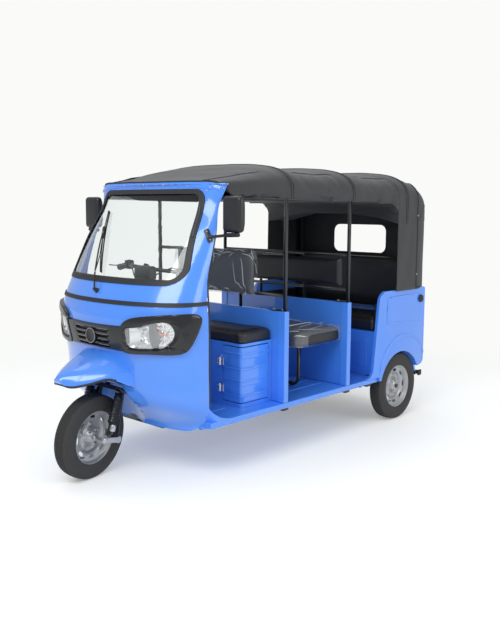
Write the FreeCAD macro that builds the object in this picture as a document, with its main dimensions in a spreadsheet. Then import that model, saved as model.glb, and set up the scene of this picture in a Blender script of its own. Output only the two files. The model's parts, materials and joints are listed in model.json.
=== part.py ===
import FreeCAD, Part
import math
import os
from types import SimpleNamespace
from FreeCAD import Placement, Rotation, Vector

# An auto rickshaw with three rows of seats, open sides and a canvas top.
# Frame: +Z up, -Y is the front, +X is the vehicle's left. Millimetres and degrees.
# Places along the vehicle are measured back from the front axle, and every piece
# is then moved forward so that the origin lies under the middle of the vehicle.

SIZES = {
    # whole vehicle
    "wheelbase": 2414, "half_track": 571, "origin_from_axle": 1276.75, "running_gap": 8,
    "seat_gap": 0.3, "overrun": 60,
    # wheels
    "wheel_radius": 254.5, "tyre_width": 102, "tread_width": 78, "crown_drop": 6,
    "flange_radius": 169.5, "bead_radius": 154, "rim_width": 84, "rim_wall": 4,
    "disc_offset": 14, "disc_dish": 22, "hub_radius": 58, "bolt_circle_radius": 74,
    "slot_circle_radius": 122, "slot_length": 44, "slot_width": 20, "slot_count": 8,
    "nut_radius": 9, "nut_height": 10, "nut_count": 5, "bore_radius": 15, "bore_gap": 0.05,
    # steering
    "steering_rake": 24, "rest_steer": 11.3, "head_tube_radius": 34, "head_tube_low": 388,
    "head_tube_length": 158, "stem_radius": 17, "strut_radius": 20, "leg_radius": 18,
    "leg_spread": 88, "fork_half_width": 108, "leg_setback": 122, "leg_foot": 26,
    "leg_top": 296, "crown_thickness": 26, "crown_depth": 84, "crown_front": 40,
    "link_height": 34, "link_thickness": 12, "link_eye_radius": 22,
    "axle_radius": 8, "axle_nut_radius": 15, "axle_nut_length": 16,
    "shock_radius": 25, "shock_boot_radius": 30, "shock_foot_radius": 17,
    "shock_rib_count": 9, "shock_front": 34, "shock_foot": 22,
    "bar_radius": 12, "bar_half_length": 330, "bar_height": 1200, "bar_rise": 60,
    "bar_sweep": 150, "grip_radius": 17, "grip_length": 125, "bar_bend": 60,
    # front mudguard
    "guard_wall": 4, "guard_tip": 222, "guard_length": 522, "guard_half_width": 285,
    "guard_crest": 772,
    # front of the cab
    "cab_half_width": 601, "cab_depth": 620, "nose_reach": 336, "cab_wall": 22,
    "header_height": 1748, "gutter_proud": 10, "gutter_height": 8, "cab_bottom": 306,
    "door_edge": 400, "door_edge_top": 572,
    "belt_height": 1066, "belt_width": 22, "belt_proud": 6, "pillar_root_height": 1190,
    "screen_low": 1183, "screen_high": 1703, "screen_low_half": 532, "screen_high_half": 452,
    "screen_low_corner": 80, "screen_high_corner": 62, "glass_wall": 5, "glass_depth": 6,
    "gasket_lap": 14, "gasket_proud": 6, "gasket_inner": 16, "gasket_tail": 18,
    # nose fascia with its two lamps
    "fascia_proud": 12, "bezel_proud": 18, "fascia_back": 0.3, "bezel_high": 1012, "bezel_low": 776,
    "bezel_end": 346, "lamp_proud": 11, "lamp_depth": 70, "lamp_gap": 1, "grille_high": 926,
    "grille_low": 786, "grille_slot": 26, "grille_rib": 12, "grille_slots": 3,
    "grille_slot_half": 155, "grille_slot_depth": 10, "badge_radius": 46, "badge_height": 856,
    "badge_thickness": 8,
    # wheel bay under the nose
    "bay_radius": 280, "bay_neck_radius": 170, "bay_shoulder": 190,
    # floor and chassis
    "floor_top": 367, "floor_plate": 8, "sill_depth": 36, "sill_half_width": 618,
    "sill_wall": 20, "floor_rear": 2128, "rail_half_spacing": 250,
    "rail_width": 50, "rail_depth": 46, "rail_front": 330, "rail_rear": 2700,
    "cross_width": 50, "bulkhead_wall": 16,
    # partitions, posts and rails
    "b_pillar": 1074, "c_pillar": 1755, "pillar_half_spacing": 600, "pillar_radius": 13,
    "partition_top": 958, "partition_wall": 25, "post_width": 60, "post_depth": 44,
    "roof_rail_height": 1668, "roof_rail_radius": 13, "rail_bend": 400, "rear_hoop": 2440, "tail_post": 2690,
    "hoop_rise": 178, "rail_radius": 11, "top_rail_b": 1322, "low_rail_b": 1056,
    "top_rail_c": 1288, "low_rail_c": 1046,
    # driver's place
    "seat_box_front": 775, "seat_box_half_width": 505, "seat_box_top": 770,
    "seat_box_wall": 16, "seat_box_bevel": 26, "door_hinge_from_side": 167, "door_bottom": 392,
    "door_top": 752, "hinge_radius": 7, "hinge_length": 46, "hinge_inset": 60,
    "hinge_leaf": 36, "rib_proud": 4, "rib_low": 452, "rib_high": 624, "rib_height": 50,
    "knob_radius": 12, "knob_reach": 14, "knob_drop": 50,
    "cushion_front": 762, "cushion_thickness": 84, "cushion_radius": 26,
    "driver_back_half_width": 356, "driver_back_low": 1046, "driver_back_high": 1330,
    "driver_back_thickness": 52,
    # middle bench
    "bench_half_width": 560, "bench_front": 1240, "bench_underside": 690,
    "bench_thickness": 105, "bench_leg_place": 1490, "bench_rail_front": 1300,
    "bench_leg_half_spacing": 380, "bench_leg_radius": 14, "bench_rail_radius": 12,
    "bench_cross_radius": 9, "bench_back_low": 1068,
    "bench_back_high": 1268, "bench_back_thickness": 48,
    "bench_back_half_width": 566,
    # rear bench
    "rear_seat_front": 2160, "rear_seat_depth": 440, "rear_seat_underside": 702,
    "rear_seat_thickness": 108, "rear_panel_wall": 20, "rear_back_low": 816,
    "rear_back_high": 1236, "rear_back_thickness": 70, "rear_box_front": 2140,
    "emboss_proud": 4, "emboss_corner": 20, "rear_emboss_inner": 445, "rear_emboss_outer": 508,
    "rear_emboss_low": 425, "rear_emboss_high": 640,
    # rear body
    "quarter_outer": 626, "quarter_wall": 24, "quarter_front": 2054, "quarter_front_top": 2130,
    "quarter_back": 2767,
    "quarter_top": 1002, "quarter_low": 338, "quarter_tail_low": 392, "quarter_corner": 90,
    "quarter_toe": 1985, "toe_height": 8, "toe_sweep": 60, "quarter_hem_corner": 40,
    "quarter_top_corner": 20, "quarter_emboss_front": 2226, "quarter_emboss_back": 2640,
    "quarter_emboss_low": 752, "quarter_emboss_high": 954,
    "arch_gap": 20, "flare_width": 96, "flare_lip": 18, "flare_proud": 13, "tail_wall": 24, "tail_top": 1000,
    "hatch_half_width": 330, "hatch_low": 420, "hatch_high": 800, "hatch_gap": 6,
    "hatch_corner": 40, "hatch_hinge_radius": 8, "tail_lamp_height": 150,
    "tail_lamp_width": 90, "tail_lamp_depth": 30, "tail_lamp_centre": 760,
    "tail_lamp_inset": 95, "cap_radius": 27, "cap_drop": 89, "cap_inset": 71,
    "cap_thickness": 10, "bumper_height": 300, "bumper_radius": 17, "bumper_back": 2806,
    "bumper_half_length": 590, "bumper_free_end": 300, "sleeve_wall": 3,
    # canopy
    "canopy_wall": 8, "canopy_half_width": 642, "canopy_front_half_width": 566,
    "canopy_front": 470, "canopy_back": 2752, "canopy_eave": 1722, "canopy_crown": 1888,
    "canopy_low": 1006, "canopy_front_lap": 4, "valance_drop": 64, "flap_front": 2317, "flap_corner": 120,
    "window_half_width": 258, "window_low": 1249, "window_high": 1477, "window_corner": 55,
    # engine and rear running gear
    "engine_length": 410, "engine_width": 400, "engine_height": 330, "engine_front": 2225,
    "engine_low": 225, "arm_radius": 24, "arm_eye": 30, "arm_pivot": 2110, "arm_pivot_height": 300,
    "arm_half_spacing": 452, "shaft_radius": 14, "rear_shock_radius": 30, "stub_radius": 14.95,
    # mirrors, wiper and controls
    "mirror_half_spacing": 682, "mirror_place": 542, "mirror_height": 1574,
    "mirror_width": 104, "mirror_tall": 168, "mirror_thickness": 36, "mirror_corner": 26,
    "mirror_arm_radius": 8, "mirror_foot_radius": 22, "mirror_foot_drop": 129,
    "mirror_foot_ahead": 101, "wiper_radius": 5, "wiper_pivot_radius": 15,
    "pod_width": 250, "pod_height": 110, "pod_back": 360, "pod_low": 1040,
}

# Sections of the front of the cab, from the bottom up. Each row is the height as a share
# of header_height, the half width of cab_half_width, the shoulder of cab_depth, the reach
# in front of the shoulder of nose_reach, and the power of the rounded outline.
nose_section_shares = (
    (0.160, 1.000, 0.735, 0.595, 2.46),
    (0.258, 1.000, 0.677, 0.790, 2.42),
    (0.356, 1.000, 0.632, 0.897, 2.30),
    (0.454, 0.998, 0.588, 0.923, 2.15),
    (0.551, 0.994, 0.548, 0.940, 2.08),
    (0.649, 0.976, 0.650, 0.943, 2.15),
    (0.747, 0.969, 0.752, 0.796, 2.25),
    (0.844, 0.957, 0.855, 0.648, 2.30),
    (0.942, 0.944, 0.957, 0.500, 2.30),
    (1.040, 0.932, 1.060, 0.350, 2.30),
)

# Hoops of the canopy, from the front back. Each row is the place as a share of the
# canopy's length, the half width's share of the way from the front to the full width,
# the eave's and the crown's heights as shares of canopy_eave and canopy_crown.
canopy_section_shares = (
    (0.000, -0.20, 1.012, 0.932),
    (0.042, 0.05, 1.008, 0.946),
    (0.130, 0.74, 1.004, 0.972),
    (0.265, 1.00, 1.000, 1.001),
    (0.405, 1.00, 0.998, 0.990),
    (0.563, 1.00, 0.996, 1.000),
    (0.712, 1.00, 0.992, 0.988),
    (0.863, 1.00, 0.988, 0.997),
    (0.942, 0.92, 0.980, 0.978),
    (0.980, 0.76, 0.962, 0.952),
    (1.000, 0.51, 0.945, 0.925),
)

# Half outline of a canopy hoop: shares of the half width and of the rise over the eave.
hoop_outline_shares = ((1.0, 0.0), (0.975, 0.30), (0.90, 0.58), (0.72, 0.84), (0.40, 0.97), (0.0, 1.0))

# Sections of the mudguard from its tip back: place as a share of guard_length, half width
# of guard_half_width, crest and hem heights as shares of guard_crest.
guard_section_shares = (
    (0.0000, 0.10, 0.824, 0.808),
    (0.0326, 0.17, 0.845, 0.776),
    (0.0805, 0.29, 0.860, 0.763),
    (0.1570, 0.431, 0.881, 0.773),
    (0.2529, 0.570, 0.903, 0.791),
    (0.3678, 0.711, 0.934, 0.813),
    (0.5019, 0.854, 0.982, 0.790),
    (0.6360, 0.982, 1.023, 0.751),
    (0.7700, 1.000, 1.036, 0.745),
    (1.0000, 1.000, 1.036, 0.745),
)
guard_outline_shares = ((1.0, 0.0), (0.965, 0.25), (0.88, 0.46), (0.70, 0.75), (0.40, 0.955), (0.0, 1.0))

# Outlines on the nose seen from the front: shares of cab_half_width across, and of the
# height from bezel_low to bezel_high, for the left lamp's bezel and lens.
bezel_outline_shares = (
    (0.30, 0.60), (0.36, 0.66), (0.44, 0.80), (0.53, 0.90), (0.70, 0.99), (1.08, 1.00),
    (1.08, 0.10), (0.93, 0.07), (0.84, 0.02), (0.67, 0.00), (0.46, 0.00), (0.30, 0.05),
)
lens_outline_shares = (
    (0.475, 0.68), (0.70, 0.79), (0.86, 0.83), (0.905, 0.77), (0.92, 0.53), (0.87, 0.29),
    (0.77, 0.19), (0.58, 0.15), (0.46, 0.21), (0.45, 0.45),
)

doc = FreeCAD.newDocument("auto_rickshaw")
sheet = doc.addObject("Spreadsheet::Sheet", "Sizes")
for row, (alias, value) in enumerate(SIZES.items(), start=1):
    sheet.set("A%d" % row, alias)
    sheet.set("B%d" % row, str(value))
    sheet.setAlias("B%d" % row, alias)
doc.recompute()
s = SimpleNamespace(**{alias: float(sheet.get(alias)) for alias in SIZES})

ORIGIN = Vector(0, -s.origin_from_axle, 0)
AT_ORIGIN = Placement(ORIGIN, Rotation())
UP = Vector(0, 0, 1)
ACROSS = Vector(1, 0, 0)
ALONG = Vector(0, 1, 0)
STEER_AXIS = Rotation(ACROSS, -s.steering_rake).multVec(UP)

# The steered wheel leans a little, so its axle sits lower for the tread to touch the floor.
lean = math.sin(math.radians(s.steering_rake)) * math.sin(math.radians(s.rest_steer))
tread_arc_radius = ((s.tread_width / 2) ** 2 + s.crown_drop ** 2) / (2 * s.crown_drop)
front_axle_height = (s.wheel_radius - tread_arc_radius) * math.sqrt(1 - lean ** 2) + tread_arc_radius
FRONT_AXLE = Vector(0, 0, front_axle_height)
STEERED = Placement(ORIGIN, Rotation()) * Placement(
    Vector(), Rotation(STEER_AXIS, s.rest_steer), FRONT_AXLE)
REAR_AXLE = Vector(0, s.wheelbase, s.wheel_radius)

NODES = []


def keep(feature, placement=AT_ORIGIN):
    """Name a finished sub-part and put it in the vehicle's frame."""
    feature.Placement = placement
    NODES.append(feature)
    return feature


def solid(label, shape, placement=AT_ORIGIN):
    """Keep a shape, or a list of like shapes, made with surface functions as a sub-part."""
    if isinstance(shape, list):
        shape = Part.makeCompound(shape)
    feature = doc.addObject("Part::Feature", label)
    feature.Label = label
    feature.Shape = shape
    return keep(feature, placement * shape.Placement)


def box(low, high):
    """Box between two corners."""
    size = Vector(*high) - Vector(*low)
    return Part.makeBox(size.x, size.y, size.z, Vector(*low))


def rod(start, end, radius):
    """Round bar between two points."""
    start, end = Vector(*start), Vector(*end)
    return Part.makeCylinder(radius, (end - start).Length, start, end - start)


def fused(shapes):
    """One solid of shapes that overlap or touch."""
    shapes = list(shapes)
    joined = shapes[0].multiFuse(shapes[1:])
    merged_faces = joined.removeSplitter()
    return merged_faces if merged_faces.isValid() else joined


def rounded_wire(points, radii):
    """Closed wire through corner points, each corner turned by an arc of its radius."""
    points = [Vector(*point) for point in points]
    if not isinstance(radii, (list, tuple)):
        radii = [radii] * len(points)
    starts, ends, arcs = [], [], []
    for index, corner in enumerate(points):
        before = (points[index - 1] - corner).normalize()
        after = (points[(index + 1) % len(points)] - corner).normalize()
        half = before.getAngle(after) / 2
        reach = radii[index] / math.tan(half)
        start, end = corner + before * reach, corner + after * reach
        middle_way = (before + after).normalize()
        middle = corner + middle_way * (radii[index] / math.sin(half) - radii[index])
        starts.append(start)
        ends.append(end)
        arcs.append((start, middle, end))
    edges = []
    for index, (start, middle, end) in enumerate(arcs):
        if radii[index] > 0:
            edges.append(Part.Arc(start, middle, end).toShape())
        following = starts[(index + 1) % len(points)]
        if (following - end).Length > s.seat_gap:
            edges.append(Part.LineSegment(end, following).toShape())
    return Part.Wire(edges)


def prism(points, radii, way):
    """Solid from a rounded outline carried along a direction."""
    return Part.Face(rounded_wire(points, radii)).extrude(way)


def tube(points, radius, bend):
    """Round tube along straight runs joined by arcs."""
    points = [Vector(*point) for point in points]
    edges = []
    here = points[0]
    for index in range(1, len(points) - 1):
        corner = points[index]
        before = (points[index - 1] - corner).normalize()
        after = (points[index + 1] - corner).normalize()
        half = before.getAngle(after) / 2
        reach = bend / math.tan(half)
        middle = corner + (before + after).normalize() * (bend / math.sin(half) - bend)
        edges.append(Part.LineSegment(here, corner + before * reach).toShape())
        edges.append(Part.Arc(corner + before * reach, middle, corner + after * reach).toShape())
        here = corner + after * reach
    edges.append(Part.LineSegment(here, points[-1]).toShape())
    spine = Part.Wire(edges)
    section = Part.Wire(Part.makeCircle(radius, points[0], points[1] - points[0]))
    return spine.makePipeShell([section], True, False)


def mirrored(shape):
    """The same shape on the other side of the vehicle."""
    return shape.mirror(Vector(), ACROSS)


def plain_box(label, low, high, edge_radius=0):
    """Block with its sizes bound to the sheet, its edges rounded if a radius is given."""
    block = doc.addObject("Part::Box", label + "_block" if edge_radius else label)
    for name, expression in zip(("Length", "Width", "Height"), zip(low, high)):
        block.setExpression(name, "(%s) - (%s)" % (expression[1], expression[0]))
    base = [".Placement.Base.x", ".Placement.Base.y", ".Placement.Base.z"]
    for name, expression in zip(base, low):
        block.setExpression(name, expression)
    doc.recompute()
    if not edge_radius:
        return block
    rounded = doc.addObject("Part::Fillet", label)
    rounded.Base = block
    rounded.Edges = [(number + 1, edge_radius, edge_radius) for number in range(len(block.Shape.Edges))]
    doc.recompute()
    return rounded


def block(label, low, high, edge_radius=0):
    """Boxy sub-part; low and high are corner expressions over the sheet, from the axle."""
    piece = plain_box(label, low, high, edge_radius)
    piece.Label = label
    if edge_radius:
        return keep(piece)
    piece.setExpression(".Placement.Base.y", "(%s) - Sizes.origin_from_axle" % low[1])
    doc.recompute()
    NODES.append(piece)
    return piece


def nose_section(row, offset):
    """Closed wire of one level of the cab's front, grown by an offset."""
    height_share, width_share, shoulder_share, reach_share, power = row
    half = s.cab_half_width * width_share + offset
    shoulder = s.cab_depth * shoulder_share
    reach = s.nose_reach * reach_share + offset
    height = s.header_height * height_share
    points = []
    steps = 16
    for step in range(steps + 1):
        turn = math.pi * step / steps
        across = -math.copysign(abs(math.cos(turn)) ** (2 / power), math.cos(turn))
        forward = abs(math.sin(turn)) ** (2 / power)
        points.append(Vector(half * across, shoulder - reach * forward, height))
    curve = Part.BSplineCurve()
    curve.interpolate(Points=points, Parameters=[step / steps for step in range(steps + 1)])
    back = s.cab_depth * 1.2
    corners = [points[-1], Vector(half, back, height), Vector(-half, back, height), points[0]]
    edges = [curve.toShape()]
    edges += [Part.LineSegment(a, b).toShape() for a, b in zip(corners, corners[1:])]
    return Part.Wire(edges)


def nose_form(offset):
    """Solid of the cab's front out to its outer skin plus an offset."""
    return Part.makeLoft([nose_section(row, offset) for row in nose_section_shares], True, False)


def screen_prism(grow):
    """Windscreen outline carried back through the cab, grown on every side."""
    front = -s.overrun
    low, high = s.screen_low - grow, s.screen_high + grow
    low_half, high_half = s.screen_low_half + grow, s.screen_high_half + grow
    points = [(-low_half, front, low), (low_half, front, low),
              (high_half, front, high), (-high_half, front, high)]
    radii = [s.screen_low_corner + grow] * 2 + [s.screen_high_corner + grow] * 2
    return prism(points, radii, ALONG * (s.cab_depth + s.overrun))


def side_prism(points, radii, half_width):
    """Side outline carried across the vehicle, given as (place, height) points."""
    points = [(-half_width, place, height) for place, height in points]
    return prism(points, radii, ACROSS * (2 * half_width))


def cab_side(inset):
    """Everything ahead of the door edge, which leans back above the belt."""
    points = [(-s.overrun, s.cab_bottom - inset), (s.door_edge - inset, s.cab_bottom - inset),
              (s.door_edge - inset, s.pillar_root_height),
              (s.door_edge_top - inset, s.header_height), (-s.overrun, s.header_height)]
    return side_prism(points, [0, s.quarter_corner * 0.8, s.quarter_corner, 0, 0], s.cab_half_width * 1.2)


def wheel_bay(gap):
    """Room for the steered wheel and its fork, round about the steering axis."""
    top = s.leg_top + s.crown_thickness + s.running_gap * 1.5 + gap
    profile = [(0, -s.wheel_radius * 1.4), (s.bay_radius, -s.wheel_radius * 1.4),
               (s.bay_radius, s.bay_shoulder), (s.bay_neck_radius, top), (0, top)]
    wire = Part.makePolygon([Vector(0, radius + (gap if radius else 0), level)
                             for radius, level in profile] + [Vector(0, 0, profile[0][1])])
    body = Part.Face(wire).revolve(Vector(), UP, 360)
    body.Placement = Placement(FRONT_AXLE, Rotation(ACROSS, -s.steering_rake))
    return body


def front_outline(shares):
    """Points of an outline on the nose, seen from the front."""
    span = s.bezel_high - s.bezel_low
    return [(s.cab_half_width * across, -s.overrun, s.bezel_low + span * up) for across, up in shares]


def curved_prism(points, way):
    """Solid from a smooth closed outline carried along a direction."""
    curve = Part.BSplineCurve()
    curve.interpolate(Points=[Vector(*point) for point in points], PeriodicFlag=True)
    return Part.Face(Part.Wire(curve.toShape())).extrude(way)


def lamp_prism(grow):
    """Left lamp's outline carried back through the nose."""
    points = front_outline(lens_outline_shares)
    centre_x = sum(point[0] for point in points) / len(points)
    centre_z = sum(point[2] for point in points) / len(points)
    grown = []
    for across, front, height in points:
        way = Vector(across - centre_x, 0, height - centre_z).normalize()
        grown.append((across + way.x * grow, front, height + way.z * grow))
    return curved_prism(grown, ALONG * (s.cab_depth * 0.7))


def build_cab():
    """Front shell with its screen, seal, fascia, lamps and belt trim."""
    outer = nose_form(0)
    bay = wheel_bay(0)
    lamp = lamp_prism(s.lamp_gap)
    shell = outer.common(cab_side(0)).cut(nose_form(-s.cab_wall)).cut(screen_prism(0))
    shell = shell.cut(bay).cut(lamp).cut(mirrored(lamp))
    lip_low = s.header_height - s.gutter_height
    lip_band = box((-s.cab_half_width * 1.2, -s.overrun, lip_low),
                   (s.cab_half_width * 1.2, s.cab_depth, s.header_height))
    lip = nose_form(s.gutter_proud).cut(nose_form(-s.cab_wall / 2)).common(cab_side(0)).common(lip_band)
    solid("cab_front_shell", largest(fused([largest(shell), largest(lip)])))

    glass = nose_form(-s.glass_depth).cut(nose_form(-s.glass_depth - s.glass_wall))
    glass = glass.common(screen_prism(-s.seat_gap))
    solid("windshield_glass", glass)

    seal = nose_form(s.gasket_proud).cut(nose_form(-s.gasket_tail))
    seal = seal.common(screen_prism(s.gasket_lap)).cut(screen_prism(-s.gasket_inner))
    seal = seal.common(cab_side(s.seat_gap)).cut(outer.cut(screen_prism(0))).cut(glass)
    solid("windshield_gasket", largest(seal))

    belt = nose_form(s.belt_proud).cut(nose_form(s.fascia_back)).common(cab_side(0))
    slab = box((-s.cab_half_width * 1.2, -s.overrun, s.belt_height - s.belt_width / 2),
               (s.cab_half_width * 1.2, s.cab_depth, s.belt_height + s.belt_width / 2))
    solid("belt_trim", belt.common(slab))

    bezel = curved_or_straight_bezel()
    grille_points = [(-s.cab_half_width * 0.4, -s.overrun, s.grille_low),
                     (s.cab_half_width * 0.4, -s.overrun, s.grille_low),
                     (s.cab_half_width * 0.4, -s.overrun, s.grille_high),
                     (-s.cab_half_width * 0.4, -s.overrun, s.grille_high)]
    middle = prism(grille_points, 0, ALONG * (s.cab_depth * 0.7))
    back_skin = nose_form(s.fascia_back)
    frames = nose_form(s.bezel_proud).cut(back_skin).common(fused([bezel, mirrored(bezel)]))
    fascia = nose_form(s.fascia_proud).cut(back_skin).common(middle)
    fascia = fused([frames, fascia]).common(cab_side(s.door_edge - s.bezel_end))
    slots = []
    pitch = s.grille_slot + s.grille_rib
    first = (s.grille_low + s.grille_high - s.grille_slots * pitch + s.grille_rib) / 2
    for number in range(int(s.grille_slots)):
        low = first + number * pitch
        slots.append(box((-s.grille_slot_half, -s.overrun, low),
                         (s.grille_slot_half, s.cab_depth / 2, low + s.grille_slot)))
    groove = Part.makeCompound(slots).cut(nose_form(s.fascia_proud - s.grille_slot_depth))
    badge_rear = Vector(0, s.cab_depth / 2, s.badge_height)
    badge_room = Part.makeCylinder(s.badge_radius * 1.12, s.cab_depth, badge_rear, -ALONG)
    fascia = fascia.cut(groove.cut(badge_room))
    for side_lamp in (lamp, mirrored(lamp)):
        fascia = fascia.cut(side_lamp)
    nose_front = s.cab_depth * nose_section_shares[4][2] - s.nose_reach * nose_section_shares[4][3]
    face = nose_front - s.fascia_proud
    badge = Part.makeCylinder(s.badge_radius, s.badge_thickness + s.fascia_proud,
                              Vector(0, face + s.fascia_proud * 0.4, s.badge_height), -ALONG)
    badge = badge.cut(back_skin)
    solid("nose_fascia", largest(fused([largest(fascia), largest(badge)])))

    lens = nose_form(s.lamp_proud).cut(nose_form(-s.lamp_depth)).common(lamp_prism(0))
    lens = largest(lens.cut(bay))
    solid("headlamps", [lens, mirrored(lens)])


def curved_or_straight_bezel():
    """Bezel mask on the left side, wrapping round the corner of the nose."""
    points = front_outline(bezel_outline_shares)
    radii = [0, 20, 60, 60, 60, 0, 0, 40, 40, 30, 30, 0]
    scale = s.cab_half_width / 601
    return prism(points, [radius * scale for radius in radii], ALONG * (s.cab_depth * 0.7))


def largest(shape):
    """The biggest solid of a boolean's result."""
    return max(shape.Solids, key=lambda piece: piece.Volume)


def body_of_revolution(label, points, curved=()):
    """Solid turned about the axle from a closed half section of (across, radius) points."""
    body = doc.addObject("PartDesign::Body", label)
    body.Label = label
    sketch = body.newObject("Sketcher::SketchObject", label + "_section")
    plane = [item for item in body.Origin.OriginFeatures if item.Role == "XZ_Plane"][0]
    sketch.AttachmentSupport = [(plane, "")]
    sketch.MapMode = "FlatFace"
    count = len(points)
    index = 0
    while index < count:
        start = Vector(points[index][0], points[index][1], 0)
        following = points[(index + 1) % count]
        if index in curved:
            after = points[(index + 2) % count]
            arc = Part.Arc(start, Vector(following[0], following[1], 0), Vector(after[0], after[1], 0))
            sketch.addGeometry(arc, False)
            index += 2
        else:
            sketch.addGeometry(Part.LineSegment(start, Vector(following[0], following[1], 0)), False)
            index += 1
    turned = body.newObject("PartDesign::Revolution", label + "_turned")
    turned.Profile = sketch
    turned.ReferenceAxis = (sketch, ["H_Axis"])
    turned.Angle = 360
    body.Tip = turned
    doc.recompute()
    return body, turned


def wheel_placement(centre, steered, outward):
    """Put a wheel made about the X axis at its axle, its outer face outwards."""
    turn = Rotation() if outward > 0 else Rotation(UP, 180)
    local = Placement(centre, turn)
    return STEERED * local if steered else Placement(ORIGIN, Rotation()) * local


def build_wheel(name, centre, steered, outward):
    """Tyre and pressed steel wheel with its oval slots, hub and nuts."""
    placement = wheel_placement(centre, steered, outward)
    inner_bead = s.bead_radius + s.rim_wall + s.seat_gap
    bead = s.rim_width / 2 - s.rim_wall - s.seat_gap
    ring = [(bead, inner_bead), (bead, s.flange_radius), (s.tyre_width / 2, s.wheel_radius * 0.83),
            (s.tread_width / 2, s.wheel_radius - s.crown_drop), (0, s.wheel_radius),
            (-s.tread_width / 2, s.wheel_radius - s.crown_drop), (-s.tyre_width / 2, s.wheel_radius * 0.83),
            (-bead, s.flange_radius), (-bead, inner_bead)]
    body, turned = body_of_revolution(name + "_tyre", ring, curved=(1, 3, 5))
    keep(body, placement)

    width, wall = s.rim_width / 2, s.rim_wall
    drop = s.bead_radius - s.rim_width * 0.25
    face = s.disc_offset
    section = [(-width, s.flange_radius), (-width, s.bead_radius), (-width * 0.45, s.bead_radius),
               (-width * 0.30, drop), (face - wall, drop), (face - wall, s.slot_circle_radius * 0.86),
               (face - wall - s.disc_dish, s.bolt_circle_radius * 1.2),
               (face - wall - s.disc_dish, s.bore_radius + s.bore_gap),
               (face + s.disc_dish * 0.7, s.bore_radius + s.bore_gap),
               (face + s.disc_dish * 0.7, s.hub_radius * 0.55), (face - s.disc_dish, s.hub_radius),
               (face - s.disc_dish, s.bolt_circle_radius * 1.25), (face, s.slot_circle_radius * 0.92),
               (face, drop + wall), (width * 0.45, s.bead_radius), (width, s.bead_radius),
               (width, s.flange_radius), (width - wall, s.flange_radius),
               (width - wall, s.bead_radius + wall), (width * 0.40, s.bead_radius + wall),
               (width * 0.25, drop + 2 * wall), (-width * 0.25, drop + 2 * wall),
               (-width * 0.40, s.bead_radius + wall), (wall - width, s.bead_radius + wall),
               (wall - width, s.flange_radius)]
    rim = doc.addObject("Part::Feature", name + "_wheel")
    rim.Label = name + "_wheel"
    wire = Part.makePolygon([Vector(across, 0, radius) for across, radius in section + section[:1]])
    disc = Part.Face(wire).revolve(Vector(), ACROSS, 360)
    cuts = []
    for number in range(int(s.slot_count)):
        turn = Rotation(ACROSS, 360 * number / s.slot_count)
        reach = (s.slot_length - s.slot_width) / 2
        ends = [Part.makeCylinder(s.slot_width / 2, s.rim_width, Vector(-width * 0.2, side * reach,
                s.slot_circle_radius), ACROSS) for side in (-1, 1)]
        middle = box((-width * 0.2, -reach, s.slot_circle_radius - s.slot_width / 2),
                     (width * 1.8, reach, s.slot_circle_radius + s.slot_width / 2))
        slot = fused(ends + [middle])
        slot.Placement = Placement(Vector(), turn)
        cuts.append(slot)
    disc = disc.cut(cuts)
    nuts = []
    for number in range(int(s.nut_count)):
        turn = Rotation(ACROSS, 360 * number / s.nut_count)
        place = turn.multVec(Vector(face - s.disc_dish - wall / 2, 0, s.bolt_circle_radius))
        nuts.append(Part.makeCylinder(s.nut_radius, s.nut_height + wall / 2, place, ACROSS))
    rim.Shape = largest(fused([disc] + nuts))
    keep(rim, placement)


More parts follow.
